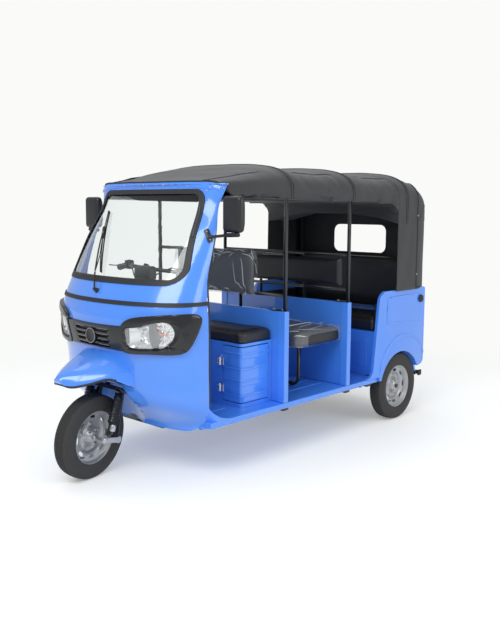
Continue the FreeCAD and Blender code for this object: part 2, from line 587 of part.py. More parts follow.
def build_front_suspension():
    """Fork, links with the axle, shock absorbers and handlebar, on the steering axis."""
    tilt = Placement(FRONT_AXLE, Rotation(ACROSS, -s.steering_rake))

    def local(shape):
        copy = shape.copy()
        copy.Placement = tilt * copy.Placement
        return copy

    foot = s.leg_foot
    top = s.leg_top
    stem_length = (s.bar_height - front_axle_height) / STEER_AXIS.z - top
    outer = s.fork_half_width
    eye_inner = 2 * s.leg_spread - outer
    crown = box((-outer, -s.crown_front, top), (outer, s.crown_depth, top + s.crown_thickness))
    stem = rod((0, 0, top), (0, 0, top + stem_length), s.stem_radius)
    legs = []
    for side in (-1, 1):
        leg_end = (side * s.leg_spread, s.crown_depth / 2, top + s.crown_thickness / 2)
        legs.append(rod((side * s.leg_spread, s.leg_setback, foot), leg_end, s.leg_radius))
        legs.append(rod((side * eye_inner, s.leg_setback, foot), (side * outer, s.leg_setback, foot),
                        s.link_eye_radius))
    solid("front_fork", local(fused([crown, stem] + legs)), STEERED)

    links = []
    inner = outer + s.seat_gap
    axle_reach = inner + s.link_thickness
    for side in (-1, 1):
        near, far = sorted((side * inner, side * (inner + s.link_thickness)))
        eyes = [rod((near, 0, 0), (far, 0, 0), s.link_eye_radius),
                rod((near, s.leg_setback, foot), (far, s.leg_setback, foot), s.link_eye_radius)]
        slope = math.degrees(math.atan2(foot, s.leg_setback))
        reach = math.hypot(foot, s.leg_setback)
        bar = box((near, 0, -s.link_height / 2), (far, reach, s.link_height / 2))
        bar.Placement = Placement(Vector(), Rotation(ACROSS, slope)) * bar.Placement
        links += eyes + [bar]
    axle = rod((-axle_reach - s.axle_nut_length, 0, 0), (axle_reach + s.axle_nut_length, 0, 0), s.axle_radius)
    hub_pin = rod((-s.rim_width / 2, 0, 0), (s.rim_width / 2, 0, 0), s.bore_radius)
    nuts = [rod((side * axle_reach, 0, 0), (side * (axle_reach + s.axle_nut_length), 0, 0), s.axle_nut_radius)
            for side in (-1, 1)]
    solid("fork_links", local(fused(links + [axle, hub_pin] + nuts)), STEERED)

    shocks = []
    for side in (-1, 1):
        across = side * (inner + s.link_thickness / 2)
        low = Vector(across, s.shock_foot, s.link_height + s.running_gap)
        high = Vector(across, -s.shock_front * 0.2, top)
        way = high - low
        length = way.Length
        foot_part = Part.makeCylinder(s.shock_foot_radius, length * 0.3, low, way)
        body = Part.makeCylinder(s.shock_radius, length * 0.72, low + way * 0.25, way)
        ribs = []
        pitch = length * 0.6 / s.shock_rib_count
        for number in range(int(s.shock_rib_count)):
            place = low + way * (0.30 + 0.6 * number / s.shock_rib_count)
            ribs.append(Part.makeCone(s.shock_boot_radius, s.shock_radius, pitch * 0.6, place, way))
        half_eye = ACROSS * (s.link_thickness / 2)
        eye = rod(tuple(low - half_eye), tuple(low + half_eye), s.shock_foot_radius)
        shocks.append(local(fused([foot_part, body, eye] + ribs)))
    solid("front_shocks", shocks, STEERED)

    bar_level = top + stem_length
    clamp = rod((0, 0, bar_level), (0, 0, bar_level + s.bar_rise), s.stem_radius)
    half = s.bar_half_length
    points = [(-half, s.bar_sweep, bar_level + s.bar_rise * 0.9),
              (-half * 0.62, s.bar_sweep * 0.55, bar_level + s.bar_rise * 1.05),
              (-half * 0.28, 0, bar_level + s.bar_rise * 0.6),
              (half * 0.28, 0, bar_level + s.bar_rise * 0.6),
              (half * 0.62, s.bar_sweep * 0.55, bar_level + s.bar_rise * 1.05),
              (half, s.bar_sweep, bar_level + s.bar_rise * 0.9)]
    bar = tube(points, s.bar_radius, s.bar_bend)
    grips = []
    for side in (-1, 1):
        end = Vector(side * half, s.bar_sweep, bar_level + s.bar_rise * 0.9)
        inner_point = Vector(side * half * 0.62, s.bar_sweep * 0.55, bar_level + s.bar_rise * 1.05)
        way = (inner_point - end).normalize()
        grips.append(Part.makeCylinder(s.grip_radius, s.grip_length, end - way * s.grip_radius * 0.5, way))
    solid("handlebar", local(fused([clamp, bar] + grips)), STEERED)


def arch_curve(points):
    """Smooth symmetric curve through evenly numbered points."""
    curve = Part.BSplineCurve()
    last = len(points) - 1
    curve.interpolate(Points=points, Parameters=[index / last for index in range(last + 1)])
    return curve.toShape()


def guard_section(row, inset):
    """Arch of the mudguard at one place, closed along its hem."""
    place, width_share, crest_share, hem_share = row
    half = s.guard_half_width * width_share - inset
    crest = s.guard_crest * crest_share - inset
    hem = s.guard_crest * hem_share - inset
    back = place * s.guard_length - s.guard_tip
    right = [Vector(half * across, back, hem + (crest - hem) * up) for across, up in guard_outline_shares]
    left = [Vector(-point.x, point.y, point.z) for point in reversed(right[:-1])]
    points = right + left
    return Part.Wire([arch_curve(points), Part.LineSegment(points[-1], points[0]).toShape()])


def guard_form(inset):
    """Solid of the mudguard's outer form, brought in by an inset."""
    return Part.makeLoft([guard_section(row, inset) for row in guard_section_shares], True, False)


def build_mudguard():
    """Domed mudguard fixed to the nose, open below and trimmed along the nose's skin."""
    hollow = guard_form(s.guard_wall)
    hollow.translate(ALONG * s.guard_wall)
    shell = guard_form(0).cut(hollow).cut(nose_form(s.seat_gap))
    solid("front_mudguard", largest(shell))


def build_floor():
    """Chassis rails with the head tube, floor pan with its sills, and front bulkhead."""
    top = s.floor_top - s.sill_depth
    half, width = s.rail_half_spacing, s.rail_width / 2
    pieces = []
    for side in (-1, 1):
        pieces.append(box((side * half - width, s.rail_front, top - s.rail_depth),
                          (side * half + width, s.rail_rear, top)))
    arm_cross = s.arm_pivot - s.arm_eye - s.running_gap - s.cross_width
    for place in (s.rail_front, s.b_pillar, s.c_pillar, arm_cross, s.rail_rear - s.cross_width):
        pieces.append(box((-half, place, top - s.rail_depth), (half, place + s.cross_width, top)))
    for side in (-1, 1):
        near, far = sorted((side * (s.engine_width / 2 + s.seat_gap), side * half))
        for place in (s.engine_front + s.cross_width, s.engine_front + s.engine_length - 2 * s.cross_width):
            pieces.append(box((near, place, top - s.rail_depth), (far, place + s.cross_width, top)))
    for place in (s.b_pillar, s.c_pillar, arm_cross):
        pieces.append(box((-s.sill_half_width + s.sill_wall, place, top - s.rail_depth / 2),
                          (s.sill_half_width - s.sill_wall, place + s.cross_width, top)))
    solid("chassis_frame", fused(pieces))

    tilt = Placement(FRONT_AXLE, Rotation(ACROSS, -s.steering_rake))
    low = s.head_tube_low
    outer = rod((0, 0, low), (0, 0, low + s.head_tube_length), s.head_tube_radius)
    bore = rod((0, 0, low - s.overrun), (0, 0, low + s.head_tube_length + s.overrun),
               s.stem_radius + s.bore_gap)
    outer.Placement = tilt
    bore.Placement = tilt
    head = tilt.multVec(Vector(0, 0, low + s.head_tube_length / 2))
    feet = [(side * half, s.rail_front + s.cross_width, top) for side in (-1, 1)]
    struts = [rod(tuple(head), foot, s.strut_radius) for foot in feet]
    strut_rooms = [rod(tuple(head), foot, s.strut_radius + s.seat_gap * 2) for foot in feet]
    cut_low = box((-s.cab_half_width, 0, 0), (s.cab_half_width, s.wheelbase, top))
    bay = wheel_bay(0)
    solid("head_tube", largest(fused([outer] + struts).cut(bore).cut(cut_low).cut(
        bay.cut(box((-s.cab_half_width, -s.cab_depth, head.z - s.head_tube_length),
                    (s.cab_half_width, s.wheelbase, s.header_height))))))

    floor_half = s.sill_half_width
    pan = box((-floor_half, s.door_edge, top), (floor_half, s.floor_rear, s.floor_top))
    room = box((-floor_half + s.sill_wall, s.door_edge + s.sill_wall, top),
               (floor_half - s.sill_wall, s.floor_rear - s.sill_wall, s.floor_top - s.floor_plate))
    shell_room = cab_side(-s.seat_gap)
    solid("floor_pan", largest(pan.cut(room).cut(shell_room.common(nose_form(0)))))

    wall = wheel_bay(s.bulkhead_wall).cut(wheel_bay(0))
    inside = nose_form(-s.cab_wall - s.seat_gap)
    keep_box = box((-s.cab_half_width, 0, s.cab_bottom),
                   (s.cab_half_width, s.rail_front, s.header_height))
    bulkhead = wall.common(inside).common(keep_box)
    toe_board = box((-s.cab_half_width, s.rail_front - s.bulkhead_wall, top),
                    (s.cab_half_width, s.rail_front, s.floor_top)).common(inside)
    stem_room = rod((0, 0, 0), (0, 0, s.header_height), s.head_tube_radius + s.running_gap)
    stem_room.Placement = tilt
    toe_floor = box((-s.cab_half_width, s.rail_front - s.bulkhead_wall, s.floor_top - s.floor_plate),
                    (s.cab_half_width, s.door_edge - s.seat_gap, s.floor_top)).common(inside)
    front = fused([bulkhead, toe_board, toe_floor]).cut(wheel_bay(0)).cut([stem_room] + strut_rooms)
    solid("front_bulkhead", largest(front))


def build_partition(label, place):
    """Steel wall across the cabin with an end post each side."""
    half = s.sill_half_width - s.sill_wall
    back = place + s.partition_wall / 2
    wall = box((-half, back - s.partition_wall, s.floor_top), (half, back, s.partition_top))
    posts = []
    for side in (-1, 1):
        near, far = sorted((side * s.sill_half_width, side * (s.sill_half_width - s.post_width)))
        posts.append(box((near, place - s.post_depth / 2, s.floor_top), (far, place + s.post_depth / 2,
                                                                          s.partition_top)))
    solid(label, fused([wall] + posts))


def handrail(place, rail_heights):
    """Two rails between the pillars, on two drops to the partition's top."""
    rails = [rod((-s.pillar_half_spacing + s.pillar_radius + s.seat_gap, place, height),
                 (s.pillar_half_spacing - s.pillar_radius - s.seat_gap, place, height), s.rail_radius)
             for height in rail_heights]
    drops = [rod((side * s.driver_back_half_width * 0.6, place, rail_heights[0]),
                 (side * s.driver_back_half_width * 0.6, place, s.partition_top), s.rail_radius)
             for side in (-1, 1)]
    return fused(rails + drops)


def hoop_points(place_share, inset):
    """Outline of the canopy's inner face at one place, as a tube's route."""
    rows = canopy_section_shares
    lower = max(row for row in rows if row[0] <= place_share)
    upper = min(row for row in rows if row[0] >= place_share)
    share = 0 if lower == upper else (place_share - lower[0]) / (upper[0] - lower[0])
    mixed = [a + (b - a) * share for a, b in zip(lower, upper)]
    return canopy_numbers(mixed, inset)


def canopy_numbers(row, inset):
    """Place, half width, eave and crown of a canopy section, brought in by an inset."""
    place_share, width_share, eave_share, crown_share = row
    place = s.canopy_front + place_share * (s.canopy_back - s.canopy_front)
    spread = s.canopy_half_width - s.canopy_front_half_width
    half = s.canopy_front_half_width + spread * width_share - inset
    return place, half, s.canopy_eave * eave_share, s.canopy_crown * crown_share - inset


def canopy_section(row, inset, low):
    """Closed wire of a canopy hoop down to a level."""
    place, half, eave, crown = canopy_numbers(row, inset)
    right = [Vector(half * across, place, eave + (crown - eave) * up) for across, up in hoop_outline_shares]
    left = [Vector(-point.x, point.y, point.z) for point in reversed(right[:-1])]
    points = right + left
    corners = [points[-1], Vector(-half, place, low), Vector(half, place, low), points[0]]
    edges = [arch_curve(points)]
    edges += [Part.LineSegment(a, b).toShape() for a, b in zip(corners, corners[1:])]
    return Part.Wire(edges)


def canopy_form(inset, low):
    """Solid of the canopy's outer form, brought in by an inset."""
    sections = [canopy_section(row, inset, low) for row in canopy_section_shares]
    return Part.makeLoft(sections, True, False)


def header_room():
    """Space ahead of the canopy's front edge, which follows the cab's header, and the header itself."""
    reach = s.door_edge_top + s.overrun
    level = s.header_height + s.seat_gap
    side = s.canopy_half_width * 1.1
    ahead = box((-side, -s.overrun, level), (side, reach, s.canopy_crown * 1.1))
    header = nose_form(s.canopy_front_lap).slice(UP, s.header_height)[0]
    ahead = ahead.cut(Part.Face(header).extrude(UP * s.canopy_crown))
    below = box((-side, -s.overrun, s.canopy_low - s.overrun), (side, s.door_edge_top + s.seat_gap, level))
    return fused([ahead, below])


def build_canopy():
    """Canvas top: roof, valance along the open sides, flaps and back with its window."""
    outer = canopy_form(0, s.canopy_low)
    inner = canopy_form(s.canopy_wall, s.canopy_low - s.overrun)
    keep_inner = box((-s.canopy_half_width, s.canopy_front - s.overrun, s.canopy_low - s.overrun),
                     (s.canopy_half_width, s.canopy_back - s.canopy_wall, s.canopy_crown * 2))
    shell = outer.cut(inner.common(keep_inner))
    eave_rear = s.canopy_eave * canopy_section_shares[6][2] - s.valance_drop
    eave_front = s.canopy_eave * canopy_section_shares[0][2] - s.valance_drop
    points = [(s.canopy_front - s.overrun, s.canopy_low - s.overrun),
              (s.flap_front, s.canopy_low - s.overrun), (s.flap_front, eave_rear),
              (s.canopy_front - s.overrun, eave_front)]
    side_opening = side_prism(points, [0, 0, s.flap_corner, 0], s.canopy_half_width * 1.1)
    window = prism([(-s.window_half_width, s.flap_front, s.window_low),
                    (s.window_half_width, s.flap_front, s.window_low),
                    (s.window_half_width, s.flap_front, s.window_high),
                    (-s.window_half_width, s.flap_front, s.window_high)], s.window_corner,
                   ALONG * (s.canopy_back - s.flap_front + s.overrun))
    shell = shell.cut(side_opening).cut(window).cut(header_room())
    solid("canopy", largest(shell))


def build_roof_frame():
    """Pillars, side rails and hoops of round tube under the canopy."""
    shapes = []
    length = s.canopy_back - s.canopy_front
    header = s.door_edge_top + s.pillar_radius
    clear = s.canopy_wall + s.roof_rail_radius + s.running_gap
    front_half = hoop_points((header - s.canopy_front) / length, clear)[1]
    rear_half = hoop_points((s.tail_post - s.canopy_front) / length, clear)[1]
    for side in (-1, 1):
        across = side * s.pillar_half_spacing
        for place in (s.b_pillar, s.c_pillar):
            shapes.append(rod((across, place, s.partition_top), (across, place, s.roof_rail_height),
                              s.pillar_radius))
        rear_across = side * rear_half
        shapes.append(rod((rear_across, s.tail_post, s.quarter_top + s.seat_gap),
                          (rear_across, s.tail_post, s.roof_rail_height), s.pillar_radius))
        route = [(side * front_half, header, s.roof_rail_height), (across, s.b_pillar, s.roof_rail_height),
                 (rear_across, s.tail_post, s.roof_rail_height)]
        shapes.append(tube(route, s.roof_rail_radius, s.rail_bend))
    for place in (s.b_pillar, s.c_pillar, s.rear_hoop):
        crown = hoop_points((place - s.canopy_front) / length, clear)[3]
        width = s.pillar_half_spacing
        route = [(-width, place, s.roof_rail_height), (-width * 0.86, place, crown - s.hoop_rise * 0.35),
                 (-width * 0.4, place, crown), (width * 0.4, place, crown),
                 (width * 0.86, place, crown - s.hoop_rise * 0.35), (width, place, s.roof_rail_height)]
        shapes.append(tube(route, s.roof_rail_radius, s.bar_bend))
    shapes.append(rod((-front_half, header, s.roof_rail_height), (front_half, header, s.roof_rail_height),
                      s.roof_rail_radius))
    shapes.append(rod((-rear_half, s.tail_post, s.roof_rail_height),
                      (rear_half, s.tail_post, s.roof_rail_height), s.roof_rail_radius))
    solid("roof_frame", largest(fused(shapes)))


def build_driver_place():
    """Seat box with its L-shaped door, cushion and backrest."""
    front, half = s.seat_box_front, s.seat_box_half_width
    back = s.b_pillar - s.partition_wall / 2 - s.seat_gap
    low, top, wall = s.floor_top, s.seat_box_top, s.seat_box_wall
    bevel = s.seat_box_bevel
    outline = [(-half, front, low), (half, front, low), (half, back, low), (-half, back, low)]
    hull = prism(outline, [bevel, bevel, 0, 0], UP * (top - low))
    inner = box((-half + wall, front + wall, low + wall), (half - wall, back - wall, top - wall))
    hinge_x = half - s.door_hinge_from_side
    doorway = box((hinge_x, front - s.overrun, s.door_bottom),
                  (half + s.overrun, back - wall * 2, s.door_top))
    solid("seat_box", hull.cut(inner).cut(doorway))

    gap = s.running_gap * 0.75
    outline = [(hinge_x + gap, front, low), (half, front, low), (half, back - wall * 2 - gap, low),
               (half - wall, back - wall * 2 - gap, low), (half - wall, front + wall, low),
               (hinge_x + gap, front + wall, low)]
    leaf = prism([(x, y, s.door_bottom + gap) for x, y, z in outline], [0, bevel, 0, 0, 0, 0],
                 UP * (s.door_top - s.door_bottom - 2 * gap))
    knob_place, knob_height = back - wall * 3, s.door_top - s.knob_drop
    knob = rod((half, knob_place, knob_height), (half + s.knob_reach, knob_place, knob_height), s.knob_radius)
    proud, start = s.rib_proud, hinge_x + s.hinge_leaf + gap
    band = [(start, front - proud), (half + proud, front - proud), (half + proud, back - wall * 4),
            (half - wall, back - wall * 4), (half - wall, front + wall), (start, front + wall)]
    ribs = [prism([(x, y, height) for x, y in band], [0, bevel + proud, 0, 0, 0, 0], UP * s.rib_height)
            for height in (s.rib_low, s.rib_high)]
    hinge_y = front - s.hinge_radius - s.seat_gap
    knuckles = []
    for height in (s.door_bottom + s.hinge_inset, s.door_top - s.hinge_inset - s.hinge_length):
        knuckles.append(rod((hinge_x, hinge_y, height), (hinge_x, hinge_y, height + s.hinge_length),
                            s.hinge_radius))
        knuckles.append(box((hinge_x, front - s.hinge_radius * 0.5, height),
                            (hinge_x + s.hinge_leaf, front, height + s.hinge_length)))
    solid("seat_box_door", largest(fused([leaf, knob] + ribs + knuckles)))

    block("driver_seat", ("-Sizes.seat_box_half_width - 5", "Sizes.cushion_front",
                          "Sizes.seat_box_top + Sizes.seat_gap"),
          ("Sizes.seat_box_half_width + 5", "Sizes.b_pillar - Sizes.partition_wall / 2 - Sizes.seat_gap",
           "Sizes.seat_box_top + Sizes.seat_gap + Sizes.cushion_thickness"), s.cushion_radius)
    rest_back = "Sizes.b_pillar - Sizes.rail_radius - Sizes.seat_gap"
    block("driver_backrest", ("-Sizes.driver_back_half_width", rest_back + " - Sizes.driver_back_thickness",
                              "Sizes.driver_back_low"),
          ("Sizes.driver_back_half_width", rest_back, "Sizes.driver_back_high"), s.cushion_radius * 0.7)


def build_benches():
    """Middle bench on its tube legs and rear bench on its box."""
    c_front = "Sizes.c_pillar - Sizes.partition_wall / 2 - Sizes.seat_gap"
    block("middle_seat", ("-Sizes.bench_half_width", "Sizes.bench_front", "Sizes.bench_underside"),
          ("Sizes.bench_half_width", c_front, "Sizes.bench_underside + Sizes.bench_thickness"),
          s.cushion_radius * 1.4)
    rest_back = "Sizes.c_pillar - Sizes.rail_radius - Sizes.seat_gap"
    block("middle_backrest", ("-Sizes.bench_back_half_width", rest_back + " - Sizes.bench_back_thickness",
                              "Sizes.bench_back_low"),
          ("Sizes.bench_back_half_width", rest_back, "Sizes.bench_back_high"), s.cushion_radius * 0.7)
    top = s.bench_underside - s.bench_rail_radius - s.seat_gap
    low = s.floor_top + s.bench_leg_radius + s.seat_gap
    half, place = s.bench_leg_half_spacing, s.bench_leg_place
    back = s.c_pillar - s.partition_wall / 2 - s.seat_gap
    pieces = [tube([(-half, place, top), (-half, place, low), (half, place, low), (half, place, top)],
                   s.bench_leg_radius, s.bar_bend)]
    for side in (-1, 1):
        pieces.append(rod((side * half, s.bench_rail_front, top), (side * half, back, top),
                          s.bench_rail_radius))
    for across in (s.bench_rail_front + s.bar_bend, back - s.bar_bend):
        pieces.append(rod((-half, across, top), (half, across, top), s.bench_cross_radius))
    solid("middle_seat_legs", fused(pieces))

    wall = s.rear_panel_wall
    half = s.quarter_outer - s.quarter_wall - s.seat_gap
    front = s.rear_box_front
    shelf_top = s.rear_seat_underside - s.seat_gap
    tail_face = s.quarter_back - s.tail_wall - s.seat_gap
    shelf = box((-half, front, shelf_top - wall), (half, tail_face, shelf_top))
    face = box((-half, front, s.floor_top - s.sill_depth), (half, front + wall, shelf_top))
    back_plane = s.rear_seat_front + s.rear_seat_depth
    rear_wall = box((-half, back_plane + s.rear_back_thickness, shelf_top - wall),
                    (half, back_plane + s.rear_back_thickness + wall, s.rear_back_low + s.quarter_corner))
    wheel_room = s.wheel_radius + s.arch_gap
    room_side = s.half_track - s.tyre_width / 2 - s.running_gap
    liners, rooms = [], []
    for side in (-1, 1):
        start = Vector(side * (room_side - wall), s.wheelbase, s.wheel_radius)
        liners.append(Part.makeCylinder(wheel_room + wall, half - room_side + wall, start, ACROSS * side))
        start = Vector(side * room_side, s.wheelbase, s.wheel_radius)
        rooms.append(Part.makeCylinder(wheel_room, half, start, ACROSS * side))
    upper = box((-half, front, s.floor_top - s.sill_depth), (half, s.quarter_back, shelf_top))
    liners = [liner.common(upper) for liner in liners]
    fields = []
    for side in (-1, 1):
        near, far = sorted((side * s.rear_emboss_inner, side * s.rear_emboss_outer))
        fields.append(prism([(near, front, s.rear_emboss_low), (far, front, s.rear_emboss_low),
                             (far, front, s.rear_emboss_high), (near, front, s.rear_emboss_high)],
                            s.emboss_corner, -ALONG * s.emboss_proud))
    solid("rear_seat_box", largest(fused([shelf, face, rear_wall] + liners + fields).cut(rooms)))
    block("rear_seat", ("-Sizes.bench_half_width", "Sizes.rear_seat_front", "Sizes.rear_seat_underside"),
          ("Sizes.bench_half_width", "Sizes.rear_seat_front + Sizes.rear_seat_depth",
           "Sizes.rear_seat_underside + Sizes.rear_seat_thickness"), s.cushion_radius * 1.2)
    rest = "Sizes.rear_seat_front + Sizes.rear_seat_depth"
    block("rear_backrest", ("-Sizes.bench_half_width", rest + " + Sizes.seat_gap", "Sizes.rear_back_low"),
          ("Sizes.bench_half_width", rest + " + Sizes.rear_back_thickness - Sizes.seat_gap",
           "Sizes.rear_back_high"), s.cushion_radius)


def build_quarter():
    """Left quarter panel: swept toe on the sill, flared wheel arch and an embossed field."""
    arch, inner = s.wheel_radius + s.arch_gap, s.quarter_outer - s.quarter_wall
    foot, rear_of_floor = s.floor_top + s.seat_gap, s.floor_rear + s.seat_gap
    outline = [(rear_of_floor, s.quarter_low), (s.quarter_back, s.quarter_tail_low),
               (s.quarter_back, s.quarter_top), (s.quarter_front_top, s.quarter_top),
               (s.quarter_front, foot + s.toe_height), (s.quarter_toe, foot + s.toe_height),
               (s.quarter_toe, foot), (rear_of_floor, foot)]
    radii = [0, s.quarter_hem_corner, s.quarter_top_corner, s.quarter_corner, s.toe_sweep, 0, 0, 0]
    panel = side_outline_solid(outline, radii, inner, s.quarter_wall)
    room = side_outline_solid(outline, radii, inner, s.quarter_wall + s.flare_proud)
    flare = Part.makeCone(arch + s.flare_width, arch + s.flare_lip, s.flare_proud,
                          Vector(s.quarter_outer, s.wheelbase, s.wheel_radius), ACROSS).common(room)
    field = [(s.quarter_emboss_front, s.quarter_emboss_low), (s.quarter_emboss_back, s.quarter_emboss_low),
             (s.quarter_emboss_back, s.quarter_emboss_high), (s.quarter_emboss_front, s.quarter_emboss_high)]
    boss = side_outline_solid(field, s.emboss_corner, inner, s.quarter_wall + s.emboss_proud)
    hole = Part.makeCylinder(arch, s.quarter_wall * 4, Vector(inner - s.quarter_wall, s.wheelbase,
                             s.wheel_radius), ACROSS)
    return largest(fused([panel, flare, boss]).cut(hole))


def build_rear_body():
    """Quarter panels with their wheel arches, tail panel, hatch, lamps, cap and bumper."""
    panel = build_quarter()
    solid("rear_quarter_left", panel)
    solid("rear_quarter_right", mirrored(panel))

    inner = s.quarter_outer - s.quarter_wall - s.seat_gap
    back, front = s.quarter_back, s.quarter_back - s.tail_wall
    tail = box((-inner, front, s.quarter_tail_low), (inner, back, s.tail_top))
    low, high, half = s.hatch_low, s.hatch_high, s.hatch_half_width
    hole = prism([(-half, front - s.overrun, low), (half, front - s.overrun, low),
                  (half, front - s.overrun, high), (-half, front - s.overrun, high)],
                 [s.hatch_corner, s.hatch_corner, 0, 0], ALONG * (s.tail_wall + 2 * s.overrun))
    solid("tail_panel", tail.cut(hole))
    gap = s.hatch_gap
    leaf = prism([(gap - half, front, low + gap), (half - gap, front, low + gap),
                  (half - gap, front, high - gap), (gap - half, front, high - gap)],
                 [s.hatch_corner, s.hatch_corner, 0, 0], ALONG * s.tail_wall)
    hinge_y = back + s.hatch_hinge_radius + s.seat_gap
    knuckles = []
    for side in (-1, 1):
        centre = side * half * 0.6
        knuckles.append(rod((centre - s.hinge_length / 2, hinge_y, high),
                            (centre + s.hinge_length / 2, hinge_y, high), s.hatch_hinge_radius))
        knuckles.append(box((centre - s.hinge_length / 2, back, high - s.hinge_inset),
                            (centre + s.hinge_length / 2, back + s.hatch_hinge_radius * 0.6, high)))
    solid("rear_hatch", largest(fused([leaf] + knuckles)))

    lamps = []
    for side in (-1, 1):
        across = side * (inner - s.tail_lamp_inset)
        near, far = sorted((across - s.tail_lamp_width / 2, across + s.tail_lamp_width / 2))
        lamp = box((near, back + s.seat_gap, s.tail_lamp_centre - s.tail_lamp_height / 2),
                   (far, back + s.tail_lamp_depth, s.tail_lamp_centre + s.tail_lamp_height / 2))
        lamps.append(lamp.makeFillet(s.tail_lamp_depth * 0.4, lamp.Edges))
    solid("tail_lamps", lamps)
    cap_place, cap_height = s.quarter_back - s.cap_inset, s.quarter_top - s.cap_drop
    solid("filler_cap", rod((s.quarter_outer + s.seat_gap, cap_place, cap_height),
                            (s.quarter_outer + s.cap_thickness, cap_place, cap_height), s.cap_radius))
    height = s.bumper_height
    back_line = s.bumper_back - s.bumper_radius
    half, stay = s.bumper_half_length, s.rail_half_spacing
    bar = rod((-half, back_line, height), (half, back_line, height), s.bumper_radius)
    sleeve_end = half - s.bumper_free_end
    sleeve = rod((-sleeve_end, back_line, height), (sleeve_end, back_line, height),
                 s.bumper_radius + s.sleeve_wall)
    stays = [rod((side * stay, s.rail_rear + s.seat_gap, height), (side * stay, back_line, height),
                 s.bumper_radius) for side in (-1, 1)]
    solid("rear_bumper", fused([bar, sleeve] + stays))


def side_outline_solid(points, radii, inner, thickness):
    """Panel on the left side from (place, height) corners."""
    return prism([(inner, place, height) for place, height in points], radii, ACROSS * thickness)


def build_running_gear():
    """Engine block, trailing arms with stub axles and shafts, and the rear shock absorbers."""
    block("engine", ("-Sizes.engine_width / 2", "Sizes.engine_front", "Sizes.engine_low"),
          ("Sizes.engine_width / 2", "Sizes.engine_front + Sizes.engine_length",
           "Sizes.engine_low + Sizes.engine_height"))
    arms, springs = [], []
    for side in (-1, 1):
        across = side * s.arm_half_spacing
        stub_end = side * (s.half_track + s.disc_offset + s.disc_dish * 0.7 + s.nut_height)
        centre = (across, s.wheelbase, s.wheel_radius)
        arm = rod((across, s.arm_pivot, s.arm_pivot_height), centre, s.arm_radius)
        pivot = rod((side * (s.rail_half_spacing + s.rail_width / 2 + s.seat_gap), s.arm_pivot,
                     s.arm_pivot_height), (across + side * s.arm_eye, s.arm_pivot, s.arm_pivot_height),
                    s.arm_eye)
        hub = rod((across - s.arm_eye, s.wheelbase, s.wheel_radius),
                  (across + s.arm_eye, s.wheelbase, s.wheel_radius), s.hub_radius)
        stub = rod(centre, (stub_end, s.wheelbase, s.wheel_radius), s.stub_radius)
        shaft = rod((side * (s.engine_width / 2 + s.seat_gap), s.wheelbase, s.wheel_radius), centre,
                    s.shaft_radius)
        arms.append(fused([arm, pivot, hub, stub, shaft]))
        low = Vector(*centre) + Vector(-side * s.arm_radius / 2, 0, s.hub_radius)
        high = Vector(low.x, s.wheelbase, s.rear_seat_underside - s.seat_gap - s.rear_panel_wall)
        springs.append(Part.makeCylinder(s.rear_shock_radius, (high - low).Length, low, high - low))
    solid("trailing_arms", arms)
    solid("rear_shocks", springs)


def build_fittings():
    """Mirrors on their arms, wiper and instrument pod."""
    mirrors = []
    for side in (-1, 1):
        across = side * s.mirror_half_spacing
        low = (across - s.mirror_width / 2, s.mirror_place - s.mirror_thickness / 2,
               s.mirror_height - s.mirror_tall / 2)
        high = (across + s.mirror_width / 2, s.mirror_place + s.mirror_thickness / 2,
                s.mirror_height + s.mirror_tall / 2)
        head = box(low, high)
        upright = [edge for edge in head.Edges if abs(edge.Curve.Direction.y) > 0.5]
        head = head.makeFillet(s.mirror_corner, upright)
        foot = Vector(side * (s.cab_half_width * 0.93), s.mirror_place - s.mirror_foot_ahead,
                      s.mirror_height - s.mirror_foot_drop)
        arm = rod(tuple(foot), (side * (s.mirror_half_spacing - s.mirror_width * 0.45), s.mirror_place,
                                s.mirror_height - s.mirror_tall * 0.3), s.mirror_arm_radius)
        base = Part.makeSphere(s.mirror_foot_radius, foot)
        shape = fused([head, arm, base]).cut(nose_form(s.seat_gap))
        mirrors.append(largest(shape))
    solid("mirrors", mirrors)
    skin = s.gasket_proud + s.seat_gap
    pivot_height = s.belt_height + s.belt_width * 2.2
    spindle = Part.makeCylinder(s.wiper_pivot_radius, s.cab_depth, Vector(0, -s.overrun, pivot_height), ALONG)
    spindle = spindle.common(nose_form(s.gasket_proud * 3)).cut(nose_form(s.seat_gap))
    blade_low = Vector(-s.screen_low_half * 0.05, -s.overrun * 2, s.belt_height + s.belt_width * 1.5)
    blade_high = Vector(-s.screen_low_half * 0.42, -s.overrun * 2, s.screen_high - s.screen_low_corner * 1.6)
    way = (blade_high - blade_low).normalize()
    side_way = way.cross(ALONG) * s.wiper_radius * 1.6
    strip = Part.makePolygon([blade_low - side_way, blade_low + side_way, blade_high + side_way,
                              blade_high - side_way, blade_low - side_way])
    sheet_solid = Part.Face(strip).extrude(ALONG * s.cab_depth * 1.2)
    blade = sheet_solid.common(nose_form(skin + s.wiper_radius * 2)).cut(nose_form(skin))
    solid("wiper", largest(fused([largest(spindle), largest(blade)])))
    pod = box((-s.pod_width / 2, 0, s.pod_low), (s.pod_width / 2, s.pod_back, s.pod_low + s.pod_height))
    pod = pod.makeFillet(s.mirror_corner, pod.Edges).common(nose_form(-s.cab_wall - s.seat_gap))
    stem_room = rod((0, 0, 0), (0, 0, s.header_height), s.head_tube_radius)
    stem_room.Placement = Placement(FRONT_AXLE, Rotation(ACROSS, -s.steering_rake))
    solid("instrument_pod", largest(pod.cut(stem_room)))


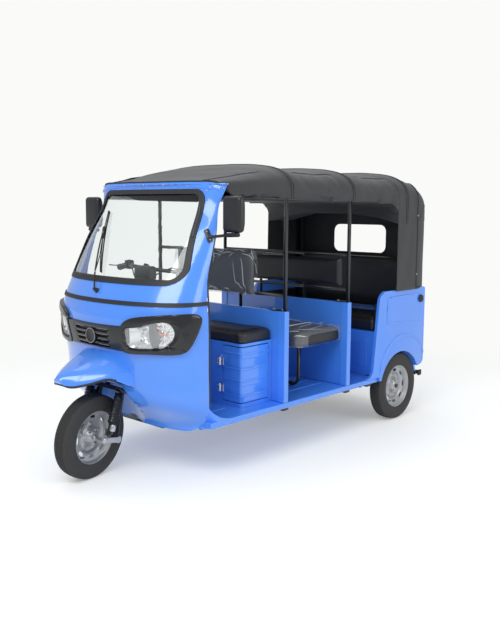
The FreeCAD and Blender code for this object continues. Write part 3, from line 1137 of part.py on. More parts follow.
build_cab()
build_mudguard()
build_front_suspension()
build_wheel("front", FRONT_AXLE, True, 1)
build_wheel("rear_left", REAR_AXLE + ACROSS * s.half_track, False, 1)
build_wheel("rear_right", REAR_AXLE - ACROSS * s.half_track, False, -1)
build_floor()
build_partition("driver_partition", s.b_pillar)
build_partition("middle_partition", s.c_pillar)
solid("handrails", [handrail(s.b_pillar, (s.top_rail_b, s.low_rail_b)),
                    handrail(s.c_pillar, (s.top_rail_c, s.low_rail_c))])
build_driver_place()
build_benches()
build_rear_body()
build_canopy()
build_roof_frame()
build_running_gear()
build_fittings()
doc.recompute()

for item in doc.Objects:
    if "Invalid" in item.State or "Error" in item.State:
        raise RuntimeError("failed: " + item.Label)
os.makedirs("parts", exist_ok=True)
for node in NODES:
    shape = node.Shape
    if shape.isNull() or not shape.isValid() or not shape.Solids:
        raise RuntimeError("bad shape: " + node.Label)
for node in NODES:
    node.Shape.exportStep("parts/%s.step" % node.Label)
print(len(NODES), "nodes")
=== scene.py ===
# %% [markdown]
# # An auto rickshaw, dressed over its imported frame
#
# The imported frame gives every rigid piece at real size. This script adds what a frame can't show:
# paint, rubber, vinyl and canvas, padded cushions, tread, lamp bowls, seams, rivets and trim.
# Lengths are in metres, +Z is up, -Y is the front and +X is the vehicle's left.

import json
import math

import bmesh
import bpy
import numpy as np
from mathutils import Matrix, Vector
from mathutils.bvhtree import BVHTree

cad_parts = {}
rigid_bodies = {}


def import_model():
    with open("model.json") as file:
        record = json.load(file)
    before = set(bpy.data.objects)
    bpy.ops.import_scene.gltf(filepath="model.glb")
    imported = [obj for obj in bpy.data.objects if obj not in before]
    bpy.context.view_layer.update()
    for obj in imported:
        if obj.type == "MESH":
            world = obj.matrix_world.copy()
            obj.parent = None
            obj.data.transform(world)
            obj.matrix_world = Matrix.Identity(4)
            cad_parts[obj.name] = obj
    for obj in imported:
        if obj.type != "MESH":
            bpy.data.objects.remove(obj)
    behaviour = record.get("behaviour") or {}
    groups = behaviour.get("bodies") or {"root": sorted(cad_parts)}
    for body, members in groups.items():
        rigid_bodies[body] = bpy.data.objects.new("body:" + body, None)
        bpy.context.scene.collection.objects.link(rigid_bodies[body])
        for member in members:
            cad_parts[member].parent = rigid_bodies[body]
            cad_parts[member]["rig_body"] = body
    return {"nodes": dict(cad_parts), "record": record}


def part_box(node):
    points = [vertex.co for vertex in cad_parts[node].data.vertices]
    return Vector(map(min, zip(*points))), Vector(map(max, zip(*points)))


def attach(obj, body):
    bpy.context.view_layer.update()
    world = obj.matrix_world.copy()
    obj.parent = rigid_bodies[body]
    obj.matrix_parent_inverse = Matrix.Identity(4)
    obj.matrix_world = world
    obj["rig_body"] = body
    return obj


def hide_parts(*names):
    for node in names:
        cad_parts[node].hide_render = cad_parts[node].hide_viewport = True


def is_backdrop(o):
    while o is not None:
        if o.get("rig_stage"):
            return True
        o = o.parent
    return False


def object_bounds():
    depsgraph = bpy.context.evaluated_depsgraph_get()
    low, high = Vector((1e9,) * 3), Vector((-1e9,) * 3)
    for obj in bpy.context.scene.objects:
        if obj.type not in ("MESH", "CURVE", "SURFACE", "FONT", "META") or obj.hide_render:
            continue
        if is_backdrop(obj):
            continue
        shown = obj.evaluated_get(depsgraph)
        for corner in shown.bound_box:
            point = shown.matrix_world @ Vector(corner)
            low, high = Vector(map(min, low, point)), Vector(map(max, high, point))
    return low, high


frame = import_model()
cad_low, cad_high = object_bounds()
AXLE = 1.27675  # how far the front axle lies ahead of the frame's origin
TAG = {1: "l", -1: "r"}  # the side of the vehicle, +X or -X, in the name of a piece
TYRE_RADIUS = 0.2545  # of the loaded frame's tyres


# %% [markdown]
# ## Colour and node helpers
#
# A colour is written as it would be seen, in sRGB hex, and turned into the linear numbers that
# the shader wants:  c' = ((c + 0.055) / 1.055) ^ 2.4  for all but the darkest values.

# %%
def linear(hex_colour):
    """sRGB hex to linear RGBA: each channel c becomes ((c + 0.055) / 1.055) ** 2.4."""
    values = [int(hex_colour[i:i + 2], 16) / 255 for i in (1, 3, 5)]
    return tuple(v / 12.92 if v <= 0.04045 else ((v + 0.055) / 1.055) ** 2.4
                 for v in values) + (1.0,)


def node(tree, kind, links=None, **values):
    """Add one shader node; links maps input names to output sockets, values sets plain inputs."""
    made = tree.nodes.new(kind)
    for name, value in values.items():
        label = name.replace("_", " ")
        if label in made.inputs:
            made.inputs[label].default_value = value
        else:
            setattr(made, name, value)
    for name, socket in (links or {}).items():
        tree.links.new(socket, made.inputs[name])
    return made


def new_material(name):
    """An empty node material with its output, and its tree."""
    material = bpy.data.materials.new(name)
    material.use_nodes = True
    tree = material.node_tree
    tree.nodes.clear()
    return material, tree, tree.nodes.new("ShaderNodeOutputMaterial")


def finish_of(name, colour, rough=0.5, metal=0.0, grain_mm=0.0, depth_mm=0.0, kind="noise",
              second=None, patch_mm=60.0, rough_spread=0.08, **shader):
    """A finish with colour patches, uneven gloss and a grain in real millimetres.

    Patch noise p(x / patch_mm) mixes colour and second; grain g(x / grain_mm) drives the bump.
    """
    material, tree, output = new_material(name)
    place = node(tree, "ShaderNodeTexCoord").outputs["Object"]
    patch = node(tree, "ShaderNodeTexNoise", {"Vector": place}, Scale=1000 / patch_mm, Detail=5.0,
                 Roughness=0.6)
    mix = node(tree, "ShaderNodeMix", data_type="RGBA")
    tree.links.new(patch.outputs["Fac"], mix.inputs["Factor"])
    mix.inputs[6].default_value = linear(colour)
    mix.inputs[7].default_value = linear(second or colour)
    spread = node(tree, "ShaderNodeMapRange", {"Value": patch.outputs["Fac"]})
    spread.inputs["To Min"].default_value = max(0.02, rough - rough_spread)
    spread.inputs["To Max"].default_value = min(1.0, rough + rough_spread)
    surface = node(tree, "ShaderNodeBsdfPrincipled", Metallic=metal)
    tree.links.new(mix.outputs[2], surface.inputs["Base Color"])
    tree.links.new(spread.outputs["Result"], surface.inputs["Roughness"])
    for label, value in shader.items():
        surface.inputs[label.replace("_", " ")].default_value = value
    if grain_mm:
        if kind == "cells":
            grain = node(tree, "ShaderNodeTexVoronoi", {"Vector": place}, Scale=1000 / grain_mm)
            height = grain.outputs["Distance"]
        elif kind == "weave":
            waves = []
            for axis in "XYZ":
                wave = node(tree, "ShaderNodeTexWave", {"Vector": place},
                            Scale=1000 / grain_mm / 6.2832)
                wave.bands_direction = axis
                waves.append(wave.outputs["Fac"])
            both = node(tree, "ShaderNodeMath", operation="MULTIPLY")
            tree.links.new(waves[0], both.inputs[0])
            tree.links.new(waves[1], both.inputs[1])
            total = node(tree, "ShaderNodeMath", operation="ADD")
            tree.links.new(both.outputs[0], total.inputs[0])
            tree.links.new(waves[2], total.inputs[1])
            height = total.outputs[0]
        else:
            grain = node(tree, "ShaderNodeTexNoise", {"Vector": place}, Scale=1000 / grain_mm,
                         Detail=3.0)
            height = grain.outputs["Fac"]
        bump = node(tree, "ShaderNodeBump", {"Height": height}, Strength=1.0,
                    Distance=depth_mm / 1000)
        tree.links.new(bump.outputs["Normal"], surface.inputs["Normal"])
    tree.links.new(surface.outputs[0], output.inputs["Surface"])
    return material


# %% [markdown]
# ## Finishes
#
# Each one is named for the real finish. Grain sizes are real: paint has a faint orange peel of a
# few millimetres, vinyl a leather grain near 2 mm and canvas a weave of 1.2 mm.

# %%
# baked blue enamel on pressed steel, glossy with a clear top coat
BLUE = finish_of("blue enamel", "#4b8ff6", 0.24, grain_mm=5, depth_mm=0.02, second="#4487ee",
                 patch_mm=400, rough_spread=0.04, Coat_Weight=0.8, Coat_Roughness=0.03)
# satin black enamel on tube and brackets
BLACK_PAINT = finish_of("black enamel", "#101113", 0.32, grain_mm=3, depth_mm=0.02,
                        second="#17181b", patch_mm=40, Coat_Weight=0.3, Coat_Roughness=0.1)
# silver wheel paint over steel
SILVER_PAINT = finish_of("silver wheel paint", "#b4b6b8", 0.36, metal=0.65, grain_mm=1.2,
                         depth_mm=0.015, second="#9fa2a5", patch_mm=30)
# zinc plated steel
ZINC = finish_of("zinc plated steel", "#c2c4c6", 0.3, metal=1.0, grain_mm=0.8, depth_mm=0.01,
                 second="#a9acb0", patch_mm=18)
# bright chrome on the lamp bowls, hinges and mirrors
CHROME = finish_of("bright chrome", "#e9ebec", 0.06, metal=1.0, second="#dfe2e4", rough_spread=0.02)
# coated canvas of the top
CANVAS = finish_of("black coated canvas", "#222425", 0.62, grain_mm=1.2, depth_mm=0.12,
                   kind="weave", second="#2b2d2e", patch_mm=160, Sheen_Weight=0.15,
                   Sheen_Roughness=0.5)
# upholstery vinyl with a pressed leather grain
VINYL = finish_of("black upholstery vinyl", "#16171a", 0.42, grain_mm=2.2, depth_mm=0.12,
                  kind="cells", second="#1d1f22", patch_mm=80)
# extruded seal rubber
RUBBER = finish_of("extruded rubber", "#1b1d20", 0.55, grain_mm=1.0, depth_mm=0.03,
                   second="#24272b", patch_mm=30)
# moulded tyre rubber, a little dusty
TYRE = finish_of("moulded tyre rubber", "#2b2b2c", 0.78, grain_mm=1.5, depth_mm=0.06,
                 second="#3b3a39", patch_mm=45)
# moulded plastic of the fascia, mirrors and pods
PLASTIC = finish_of("moulded black plastic", "#15171a", 0.36, grain_mm=0.9, depth_mm=0.03,
                    kind="cells", second="#1c1f23", patch_mm=50)
# cast alloy of the engine
ALLOY = finish_of("cast alloy", "#7d7f80", 0.55, metal=0.8, grain_mm=1.6, depth_mm=0.08,
                  second="#6a6c6e", patch_mm=25)
# moulded red lens of the tail lamps
# Glossy moulded trim of the nose: bezels and grille.
GLOSS = finish_of("glossy black plastic", "#17191d", 0.16, grain_mm=4.0, depth_mm=0.01,
                  second="#1d2024")
# Screen gasket: a round rubber section, polished by wear on its crown.
GASKET = finish_of("polished gasket rubber", "#2c3034", 0.3, grain_mm=1.0, depth_mm=0.02,
                   second="#34393e")
RED_LENS = finish_of("moulded red lens", "#b0060a", 0.12, grain_mm=4.0, depth_mm=0.3, kind="cells",
                     second="#98050a", Coat_Weight=0.6, Coat_Roughness=0.05)
# moulded amber lens and bulb glass
AMBER = finish_of("moulded amber lens", "#e06a10", 0.15, grain_mm=3.0, depth_mm=0.2, kind="cells",
                  second="#d05f0c", Coat_Weight=0.6, Coat_Roughness=0.05)
# laminated clear glass
GLASS = finish_of("laminated clear glass", "#f3f8f8", 0.02, rough_spread=0.0,
                  Transmission_Weight=1.0, IOR=1.45)
# clear moulded lamp lens
LENS = finish_of("clear moulded lens", "#f4f8fa", 0.04, grain_mm=9, depth_mm=0.3, rough_spread=0.0,
                 Alpha=0.16, Specular_IOR_Level=0.9)
# silvered mirror glass
MIRROR = finish_of("silvered mirror glass", "#f0f2f3", 0.02, metal=1.0, rough_spread=0.0)
# crinkled clear packing film over new cushions
FILM = finish_of("clear packing film", "#dfe4ea", 0.1, grain_mm=26, depth_mm=3.0, rough_spread=0.03,
                 Alpha=0.14, Specular_IOR_Level=1.0)
# painted highlights: light strips along the film's sharp folds, standing for where they catch the
# light
PAINTED_FOLD_HIGHLIGHT = finish_of("film folds", "#f4f6f8", 0.25, rough_spread=0.05, Alpha=0.85)
# painted shade: the dark band over the top of the screen; and the smoked divider in the lamps, its
# own smoked plastic
SMOKE_AND_PAINTED_SHADE = finish_of("smoked tint and painted shade", "#16181b", 0.2, rough_spread=0.02, Alpha=0.8)

SLOT_FINISH = {
    "blue_paint": BLUE, "black_paint": BLACK_PAINT, "silver_paint": SILVER_PAINT,
    "silver_steel": ZINC, "black_canvas": CANVAS, "black_vinyl": VINYL, "clear_glass": GLASS,
    "lamp_lens": LENS, "red_lens": RED_LENS, "seal_rubber": RUBBER, "tyre_rubber": TYRE,
    "black_plastic": PLASTIC, "cast_alloy": ALLOY,
}
SLOT_OF = {part["node"]: part["material_slot"] for part in frame["record"]["subparts"]}


# %% [markdown]
# ## Mesh helpers
#
# Most pieces are parametric: a grid of points P(u, v) computed at once with numpy, then joined
# with quads. Every function says its formula in words.

# %%
def place(piece, body="root", material=None, slot=None, smooth=True, angle=40):
    """Finish a piece: its material, shading and the body that it rides on. The slot argument is not
    used.
    """
    if material:
        piece.data.materials.clear()
        piece.data.materials.append(material)
    if piece.type == "MESH" and smooth:
        piece.data.shade_smooth()
        piece.data.set_sharp_from_angle(angle=math.radians(angle))
    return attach(piece, body)


def mesh_piece(name, points, faces):
    """A mesh object at the origin from an array of points and an array or list of faces."""
    mesh = bpy.data.meshes.new(name)
    mesh.from_pydata(np.asarray(points, float).reshape(-1, 3).tolist(), [],
                     faces.tolist() if isinstance(faces, np.ndarray) else faces)
    mesh.update()
    piece = bpy.data.objects.new(name, mesh)
    bpy.context.scene.collection.objects.link(piece)
    return piece


def outward(piece):
    """Make the normals of a closed piece point out."""
    work = bmesh.new()
    work.from_mesh(piece.data)
    bmesh.ops.remove_doubles(work, verts=work.verts, dist=1e-6)
    bmesh.ops.recalc_face_normals(work, faces=work.faces)
    work.to_mesh(piece.data)
    work.free()
    return piece


def grid_faces(rows, columns, wrap_rows=False, wrap_columns=False, start=0):
    """Quads over a rows by columns grid of point numbers, joined round where asked."""
    down = np.arange(rows if wrap_rows else rows - 1)
    across = np.arange(columns if wrap_columns else columns - 1)
    i, j = np.meshgrid(down, across, indexing="ij")
    n, m = (i + 1) % rows, (j + 1) % columns
    quads = np.stack([i * columns + j, i * columns + m, n * columns + m, n * columns + j], -1)
    return quads.reshape(-1, 4) + start


def surface(name, points, wrap_rows=False, wrap_columns=False):
    """A sheet through a (rows, columns, 3) array of points."""
    rows, columns = points.shape[:2]
    return mesh_piece(name, points, grid_faces(rows, columns, wrap_rows, wrap_columns))


def thick_sheet(name, outer, inner, wrap_columns=False):
    """A closed skin between two grids of the same size, joined along their open borders."""
    rows, columns = outer.shape[:2]
    count = rows * columns
    top = grid_faces(rows, columns, False, wrap_columns)
    under = grid_faces(rows, columns, False, wrap_columns, count)[:, ::-1]
    if wrap_columns:
        first = np.r_[np.arange(columns), 0]
        rims = [first, (rows - 1) * columns + first[::-1]]
    else:
        rim = np.r_[np.arange(columns), np.arange(2, rows + 1) * columns - 1,
                    (rows - 1) * columns + np.arange(columns - 2, -1, -1),
                    np.arange(rows - 2, -1, -1) * columns]
        rims = [rim]
    sides = [np.stack([ring[1:], ring[:-1], ring[:-1] + count, ring[1:] + count],
                      -1) for ring in rims]
    points = np.concatenate([outer.reshape(-1, 3), inner.reshape(-1, 3)])
    return outward(mesh_piece(name, points, np.concatenate([top, under] + sides)))


def frames_along(path):
    """Unit tangent and two normals at each point of a path, carried along without twist."""
    path = np.asarray(path, float)
    way = np.gradient(path, axis=0)
    way /= np.linalg.norm(way, axis=1, keepdims=True)
    seed = np.array([0, 0, 1.0]) if abs(way[0, 2]) < 0.9 else np.array([1.0, 0, 0])
    sides = []
    for direction in way:
        seed = seed - direction * (seed @ direction)
        seed = seed / np.linalg.norm(seed)
        sides.append(seed)
    sides = np.array(sides)
    return way, sides, np.cross(way, sides)


def sweep(name, path, radius, sides=12, closed=False):
    """A round bar along a path: P(i, t) = path_i + r_i (cos t * n_i + sin t * b_i), capped."""
    path = np.asarray(path, float)
    radius = np.broadcast_to(np.asarray(radius, float), (len(path),))
    _, normal, binormal = frames_along(path)
    turn = np.linspace(0, 2 * math.pi, sides, endpoint=False)
    ring = (np.cos(turn)[None, :, None] * normal[:, None] + np.sin(turn)[None, :, None]
            * binormal[:, None])
    points = path[:, None] + radius[:, None, None] * ring
    if closed:
        return outward(surface(name, points, True, True))
    quads = grid_faces(len(path), sides, False, True).tolist()
    last = (len(path) - 1) * sides
    caps = [list(range(sides))[::-1], [last + k for k in range(sides)]]
    return outward(mesh_piece(name, points, quads + caps))


def strip(name, path, up, width, height):
    """A flat bar of rounded section along a path, its height along the given up vectors."""
    path, up = np.asarray(path, float), np.asarray(up, float)
    up = np.broadcast_to(up, path.shape)
    way = np.gradient(path, axis=0)
    way /= np.linalg.norm(way, axis=1, keepdims=True)
    side = np.cross(way, up)
    side /= np.linalg.norm(side, axis=1, keepdims=True)
    turn = np.linspace(0, 2 * math.pi, 12, endpoint=False)
    across = np.sign(np.cos(turn)) * np.abs(np.cos(turn)) ** 0.5 * width / 2
    rise = np.sign(np.sin(turn)) * np.abs(np.sin(turn)) ** 0.5 * height / 2
    points = (path[:, None] + across[None, :, None] * side[:, None]
              + rise[None, :, None] * up[:, None])
    quads = grid_faces(len(path), 12, False, True).tolist()
    last = (len(path) - 1) * 12
    return outward(mesh_piece(name, points, quads + [list(range(12))[::-1],
                                                     [last + k for k in range(12)]]))


def lathe(name, profile, centre, axis, sides=48, closed=False):
    """Turn a profile of (along, radius) points about an axis through centre."""
    profile = np.asarray(profile, float)
    axis = np.asarray(axis, float) / np.linalg.norm(axis)
    seed = np.array([0, 0, 1.0]) if abs(axis[2]) < 0.9 else np.array([1.0, 0, 0])
    first = np.cross(axis, seed)
    first /= np.linalg.norm(first)
    second = np.cross(axis, first)
    turn = np.linspace(0, 2 * math.pi, sides, endpoint=False)
    ring = np.cos(turn)[:, None] * first + np.sin(turn)[:, None] * second
    points = (np.asarray(centre, float) + profile[:, None, :1] * axis
              + profile[:, None, 1:] * ring[None])
    return outward(surface(name, points, closed, True))


def scatter(name, template, faces, places, aims):
    """Copies of one small closed form, its +Z turned to each aim, joined as one piece."""
    template, places, aims = (np.asarray(x, float) for x in (template, places, aims))
    aims = np.broadcast_to(aims, places.shape)
    aims = aims / np.linalg.norm(aims, axis=1, keepdims=True)
    seed = np.where(np.abs(aims[:, 2:]) < 0.9, [[0, 0, 1.0]], [[1.0, 0, 0]])
    first = np.cross(seed, aims)
    first /= np.linalg.norm(first, axis=1, keepdims=True)
    second = np.cross(aims, first)
    turn = np.stack([first, second, aims], 1)
    points = places[:, None] + np.einsum("pc,kcd->kpd", template, turn)
    count = len(template)
    everything = [[v + count * k for v in face] for k in range(len(places)) for face in faces]
    return outward(mesh_piece(name, points, everything))


def dome(radius, height, sides=12, rings=4):
    """A low domed head: z = h * cos(a), r = R * sin(a), closed by a flat underside."""
    lift = np.linspace(0, math.pi / 2, rings + 1)[1:]
    turn = np.linspace(0, 2 * math.pi, sides, endpoint=False)
    rows = [[(0, 0, height)]]
    for a in lift:
        rows.append([(radius * math.sin(a) * math.cos(t), radius * math.sin(a) * math.sin(t),
                      height * math.cos(a)) for t in turn])
    points = np.array([p for row in rows for p in row])
    faces = [[0, 1 + k, 1 + (k + 1) % sides] for k in range(sides)]
    for ring in range(rings - 1):
        a, b = 1 + ring * sides, 1 + (ring + 1) * sides
        faces += [[a + k, b + k, b + (k + 1) % sides, a + (k + 1) % sides] for k in range(sides)]
    last = 1 + (rings - 1) * sides
    faces.append([last + k for k in range(sides)][::-1])
    return points, faces


def hexagon(across, height, chamfer=0.15):
    """A bolt head: a hexagonal prism whose top edge is drawn in."""
    turn = np.arange(6) * math.pi / 3
    radius = across / math.sqrt(3)
    rows = [(radius, 0), (radius, height * (1 - chamfer)), (radius * 0.86, height)]
    points = np.array([(r * math.cos(t), r * math.sin(t), z) for r, z in rows for t in turn])
    faces = [[row * 6 + k, row * 6 + (k + 1) % 6, (row + 1) * 6 + (k + 1) % 6, (row + 1) * 6 + k]
             for row in range(2) for k in range(6)]
    return points, faces + [[5, 4, 3, 2, 1, 0], [12, 13, 14, 15, 16, 17]]


def dressed(part, material=None, bevel=0.0, angle=32):
    """Stand in for a frame node with a merged copy that shades smoothly and has softened edges."""
    source = frame["nodes"][part]
    mesh = source.data.copy()
    work = bmesh.new()
    work.from_mesh(mesh)
    bmesh.ops.remove_doubles(work, verts=work.verts, dist=2e-6)
    if bevel:
        bmesh.ops.dissolve_limit(work, angle_limit=math.radians(0.5), verts=work.verts,
                                 edges=work.edges)
    work.to_mesh(mesh)
    work.free()
    piece = bpy.data.objects.new(part + "_finish", mesh)
    bpy.context.scene.collection.objects.link(piece)
    mesh.materials.clear()
    mesh.materials.append(material or SLOT_FINISH[SLOT_OF[part]])
    mesh.shade_smooth()
    mesh.set_sharp_from_angle(angle=math.radians(angle))
    if bevel:
        edge = piece.modifiers.new("soft edges", "BEVEL")
        edge.width = bevel
        edge.segments = 2
        edge.limit_method = "ANGLE"
        edge.angle_limit = math.radians(50)
        edge.harden_normals = False
    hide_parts(part)
    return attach(piece, source["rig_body"])


# %% [markdown]
# ## Camera
#
# Solved from the photograph: the camera stands ahead and to the left, a little over head height,
# and looks 42.5 degrees across and 6.7 degrees down.

# %%
camera_data = bpy.data.cameras.new("camera")
camera_data.lens = 44.51
camera_data.sensor_width = 36
camera_data.shift_x = -0.0002
camera_data.shift_y = -0.0223
camera = bpy.data.objects.new("camera", camera_data)
bpy.context.scene.collection.objects.link(camera)
yaw, pitch, roll = (math.radians(v) for v in (42.522, 6.679, 0.393))
ahead = Vector((-math.sin(yaw) * math.cos(pitch), math.cos(yaw) * math.cos(pitch),
                -math.sin(pitch)))
level = Vector((math.cos(yaw), math.sin(yaw), 0))
above = level.cross(ahead)
right = level * math.cos(roll) + above * math.sin(roll)
upward = above * math.cos(roll) - level * math.sin(roll)
camera.matrix_world = Matrix.Translation((3.719, -2.656 - AXLE, 1.607)) @ Matrix(
    (right, upward, -ahead)).transposed().to_4x4()
bpy.context.scene.camera = camera

# %% [markdown]
# ## Floor, backdrop and light
#
# A white room: the world is white to the eye and a softer white as light, and the floor is a
# white sheet that keeps the soft shadow.

# %%
bpy.context.scene.view_settings.view_transform = "Standard"
world = bpy.data.worlds.new("white room")
bpy.context.scene.world = world
world.use_nodes = True
tree = world.node_tree
tree.nodes.clear()
seen = node(tree, "ShaderNodeLightPath")
either = node(tree, "ShaderNodeMath", operation="MAXIMUM")
tree.links.new(seen.outputs["Is Camera Ray"], either.inputs[0])
tree.links.new(seen.outputs["Is Transmission Ray"], either.inputs[1])
lit = node(tree, "ShaderNodeBackground", Color=linear("#f6f8fb"), Strength=0.62)
shown = node(tree, "ShaderNodeBackground", Color=linear("#fafbf9"), Strength=1.0)
choice = node(tree, "ShaderNodeMixShader")
tree.links.new(either.outputs[0], choice.inputs[0])
tree.links.new(lit.outputs[0], choice.inputs[1])
tree.links.new(shown.outputs[0], choice.inputs[2])
room = tree.nodes.new("ShaderNodeOutputWorld")
tree.links.new(choice.outputs[0], room.inputs["Surface"])

# Towards its far edge the floor turns into the same white as the room, so no horizon shows:
# share = smooth step of the distance from the middle, from 1.9 m to 5 m.
floor_material, tree, output = new_material("white studio floor")
seen = node(tree, "ShaderNodeLightPath")
either = node(tree, "ShaderNodeMath", operation="MAXIMUM")
tree.links.new(seen.outputs["Is Camera Ray"], either.inputs[0])
tree.links.new(seen.outputs["Is Glossy Ray"], either.inputs[1])
glow = node(tree, "ShaderNodeMath", operation="MULTIPLY")
glow.inputs[1].default_value = 0.25
tree.links.new(either.outputs[0], glow.inputs[0])
place_on_floor = node(tree, "ShaderNodeTexCoord").outputs["Object"]
mottle = node(tree, "ShaderNodeTexNoise", {"Vector": place_on_floor}, Scale=2.0)
tint = node(tree, "ShaderNodeMix", data_type="RGBA")
tree.links.new(mottle.outputs["Fac"], tint.inputs["Factor"])
tint.inputs[6].default_value = linear("#f4f5f3")
tint.inputs[7].default_value = linear("#eff1ef")
sheet_finish = node(tree, "ShaderNodeBsdfPrincipled", Roughness=0.6)
sheet_finish.inputs["Emission Color"].default_value = linear("#fafbf8")
tree.links.new(tint.outputs[2], sheet_finish.inputs["Base Color"])
tree.links.new(glow.outputs[0], sheet_finish.inputs["Emission Strength"])
far_off = node(tree, "ShaderNodeVectorMath", operation="LENGTH")
tree.links.new(place_on_floor, far_off.inputs[0])
fade = node(tree, "ShaderNodeMapRange", {"Value": far_off.outputs["Value"]},
            interpolation_type="SMOOTHSTEP")
fade.inputs["From Min"].default_value = 1.9
fade.inputs["From Max"].default_value = 5.0
share = node(tree, "ShaderNodeMath", operation="MULTIPLY")
tree.links.new(fade.outputs["Result"], share.inputs[0])
tree.links.new(either.outputs[0], share.inputs[1])
plain = node(tree, "ShaderNodeEmission", Color=linear("#fafbf9"), Strength=1.0)
blended = node(tree, "ShaderNodeMixShader")
tree.links.new(share.outputs[0], blended.inputs[0])
tree.links.new(sheet_finish.outputs[0], blended.inputs[1])
tree.links.new(plain.outputs[0], blended.inputs[2])
tree.links.new(blended.outputs[0], output.inputs["Surface"])
reach = 60.0
floor = mesh_piece("floor", [(-reach, -reach, 0), (reach, -reach, 0), (reach, reach, 0),
                             (-reach, reach, 0)], [[0, 1, 2, 3]])
floor.data.materials.append(floor_material)
floor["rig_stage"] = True


def softbox(name, at, towards, size, power):
    """A square area lamp at a point, facing another."""
    data = bpy.data.lights.new(name, "AREA")
    data.shape = "RECTANGLE"
    data.size, data.size_y = size
    data.energy = power
    lamp = bpy.data.objects.new(name, data)
    lamp.location = at
    lamp.rotation_euler = (Vector(towards) - Vector(at)).to_track_quat("-Z", "Y").to_euler()
    bpy.context.scene.collection.objects.link(lamp)


softbox("key", (2.2, -4.5, 4.6), (0, 0, 0.8), (3.5, 2.5), 170)
softbox("side", (5.2, 1.0, 2.6), (0, 0.3, 0.7), (3.5, 2.0), 70)
softbox("over", (-1.2, 0.6, 5.0), (0, 0, 1.0), (4.0, 4.0), 60)

# %% [markdown]
# ## Reading surfaces off the frame
#
# Trim follows the solids under it. A ray cast onto a node gives a point P of its skin and the
# normal n there; a seam, a rivet or a sheet then lies at P + h * n.

# %%
def span(part):
    """Lowest and highest corner of a frame node, as arrays."""
    return tuple(np.array(corner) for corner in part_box(part))


def tree_of(mesh):
    """A tree over the triangles of a mesh, for casting rays."""
    spot = np.empty(len(mesh.vertices) * 3)
    mesh.vertices.foreach_get("co", spot)
    return BVHTree.FromPolygons(spot.reshape(-1, 3).tolist(),
                                [list(face.vertices) for face in mesh.polygons])


def skin(part):
    """The tree of one frame node."""
    return tree_of(frame["nodes"][part].data)


def cast(tree, starts, ways):
    """Where rays from starts along ways meet a tree: points and normals, nan where they miss."""
    starts, ways = np.broadcast_arrays(np.asarray(starts, float), np.asarray(ways, float))
    shape = starts.shape
    found = [tree.ray_cast(Vector(a), Vector(b)) for a, b in zip(starts.reshape(-1, 3),
                                                                 ways.reshape(-1, 3))]
    gap = (math.nan,) * 3
    points = np.array([tuple(hit[0]) if hit[0] else gap for hit in found]).reshape(shape)
    normals = np.array([tuple(hit[1]) if hit[0] else gap for hit in found]).reshape(shape)
    return points, normals


def laid(tree, points, way, lift=0.0, reach=1.0):
    """Points carried along a way onto a skin and out by a lift, and the normals there."""
    points = np.asarray(points, float)
    way = np.asarray(way, float) / np.linalg.norm(way)
    hits, normals = cast(tree, points - way * reach, way)
    miss = np.isnan(hits[..., 0])
    hits[miss] = points[miss]
    normals[miss] = -way
    return hits + normals * lift, normals


def smooth(points, count, closed=False):
    """Catmull-Rom curve through points: cubics whose end slopes are (next - last) / 2."""
    points = np.asarray(points, float)
    if closed:
        ring = np.concatenate([points[-1:], points, points[:2]])
    else:
        ring = np.concatenate([2 * points[:1] - points[1:2], points,
                               2 * points[-1:] - points[-2:-1]])
    pieces = len(ring) - 3
    where = np.linspace(0, pieces, count, endpoint=not closed)
    index = np.minimum(where.astype(int), pieces - 1)
    t = (where - index)[:, None]
    a, b, c, d = (ring[index + k] for k in range(4))
    return 0.5 * (2 * b + (c - a) * t + (2 * a - 5 * b + 4 * c - d) * t ** 2
                  + (3 * b - a - 3 * c + d) * t ** 3)


def even(path, count):
    """The same path with its points evenly spaced."""
    path = np.asarray(path, float)
    length = np.r_[0, np.cumsum(np.linalg.norm(np.diff(path, axis=0), axis=1))]
    wanted = np.linspace(0, length[-1], count)
    return np.stack([np.interp(wanted, length, path[:, k]) for k in range(path.shape[1])], -1)


# %% [markdown]
# ## Painted and plated frame nodes
#
# Nodes whose shape is right keep it. Sheet metal and tube get smooth shading and a small soft
# edge, as pressed steel has.

# %%
for part, bevel in {
        "cab_front_shell": 0, "front_bulkhead": 0.002, "belt_trim": 0,
        "windshield_gasket": 0, "floor_pan": 0.004, "driver_partition": 0.004,
        "middle_partition": 0.004, "seat_box": 0.003, "seat_box_door": 0.0025,
        "rear_quarter_left": 0.004, "rear_quarter_right": 0.004, "tail_panel": 0.004,
        "rear_hatch": 0.003, "rear_seat_box": 0.003, "chassis_frame": 0.003,
        "handrails": 0, "roof_frame": 0, "middle_seat_legs": 0, "front_fork": 0,
        "fork_links": 0.002, "front_shocks": 0, "handlebar": 0, "head_tube": 0,
        "trailing_arms": 0, "rear_shocks": 0, "rear_bumper": 0, "filler_cap": 0.001,
        "instrument_pod": 0, "engine": 0.006, "tail_lamps": 0,
        "front_wheel": 0, "rear_left_wheel": 0, "rear_right_wheel": 0,
        "windshield_glass": 0}.items():
    dressed(part, bevel=bevel)


# %% [markdown]
# ## Canvas top
#
# One sheet runs from hem to hem over the hoops, and is joined at the back to the side flaps and
# the rear curtain. Its base is the skin of the frame's canopy, read with rays. On it lie the
# small moves of cloth: a ridge over each hoop, r * exp(-(y - y_hoop)^2 / s^2); a slack between
# hoops; long shallow creases, a sum of slanted sine waves; and a wavering hem that grows as the
# cloth gets further below the eave.
#
# Known fault: the sheet also has stray layers inside, from side to side a little under the
# eaves. The lowest rays of roof_grid seem to pass under a hem and to land on the far side's
# inside, so a row crosses the cab before it climbs.

# %%
canopy_low, canopy_high = span("canopy")
canopy_skin = skin("canopy")
hoops = np.array([1.074, 1.755, 2.440]) - AXLE
FLAP_FRONT = 2.317 - AXLE
FLAP_CORNER = 0.12
WINDOW = (0.258, 1.249, 1.477, 0.055)  # half width, low, high and corner radius of the rear window
axis_height = 1.42


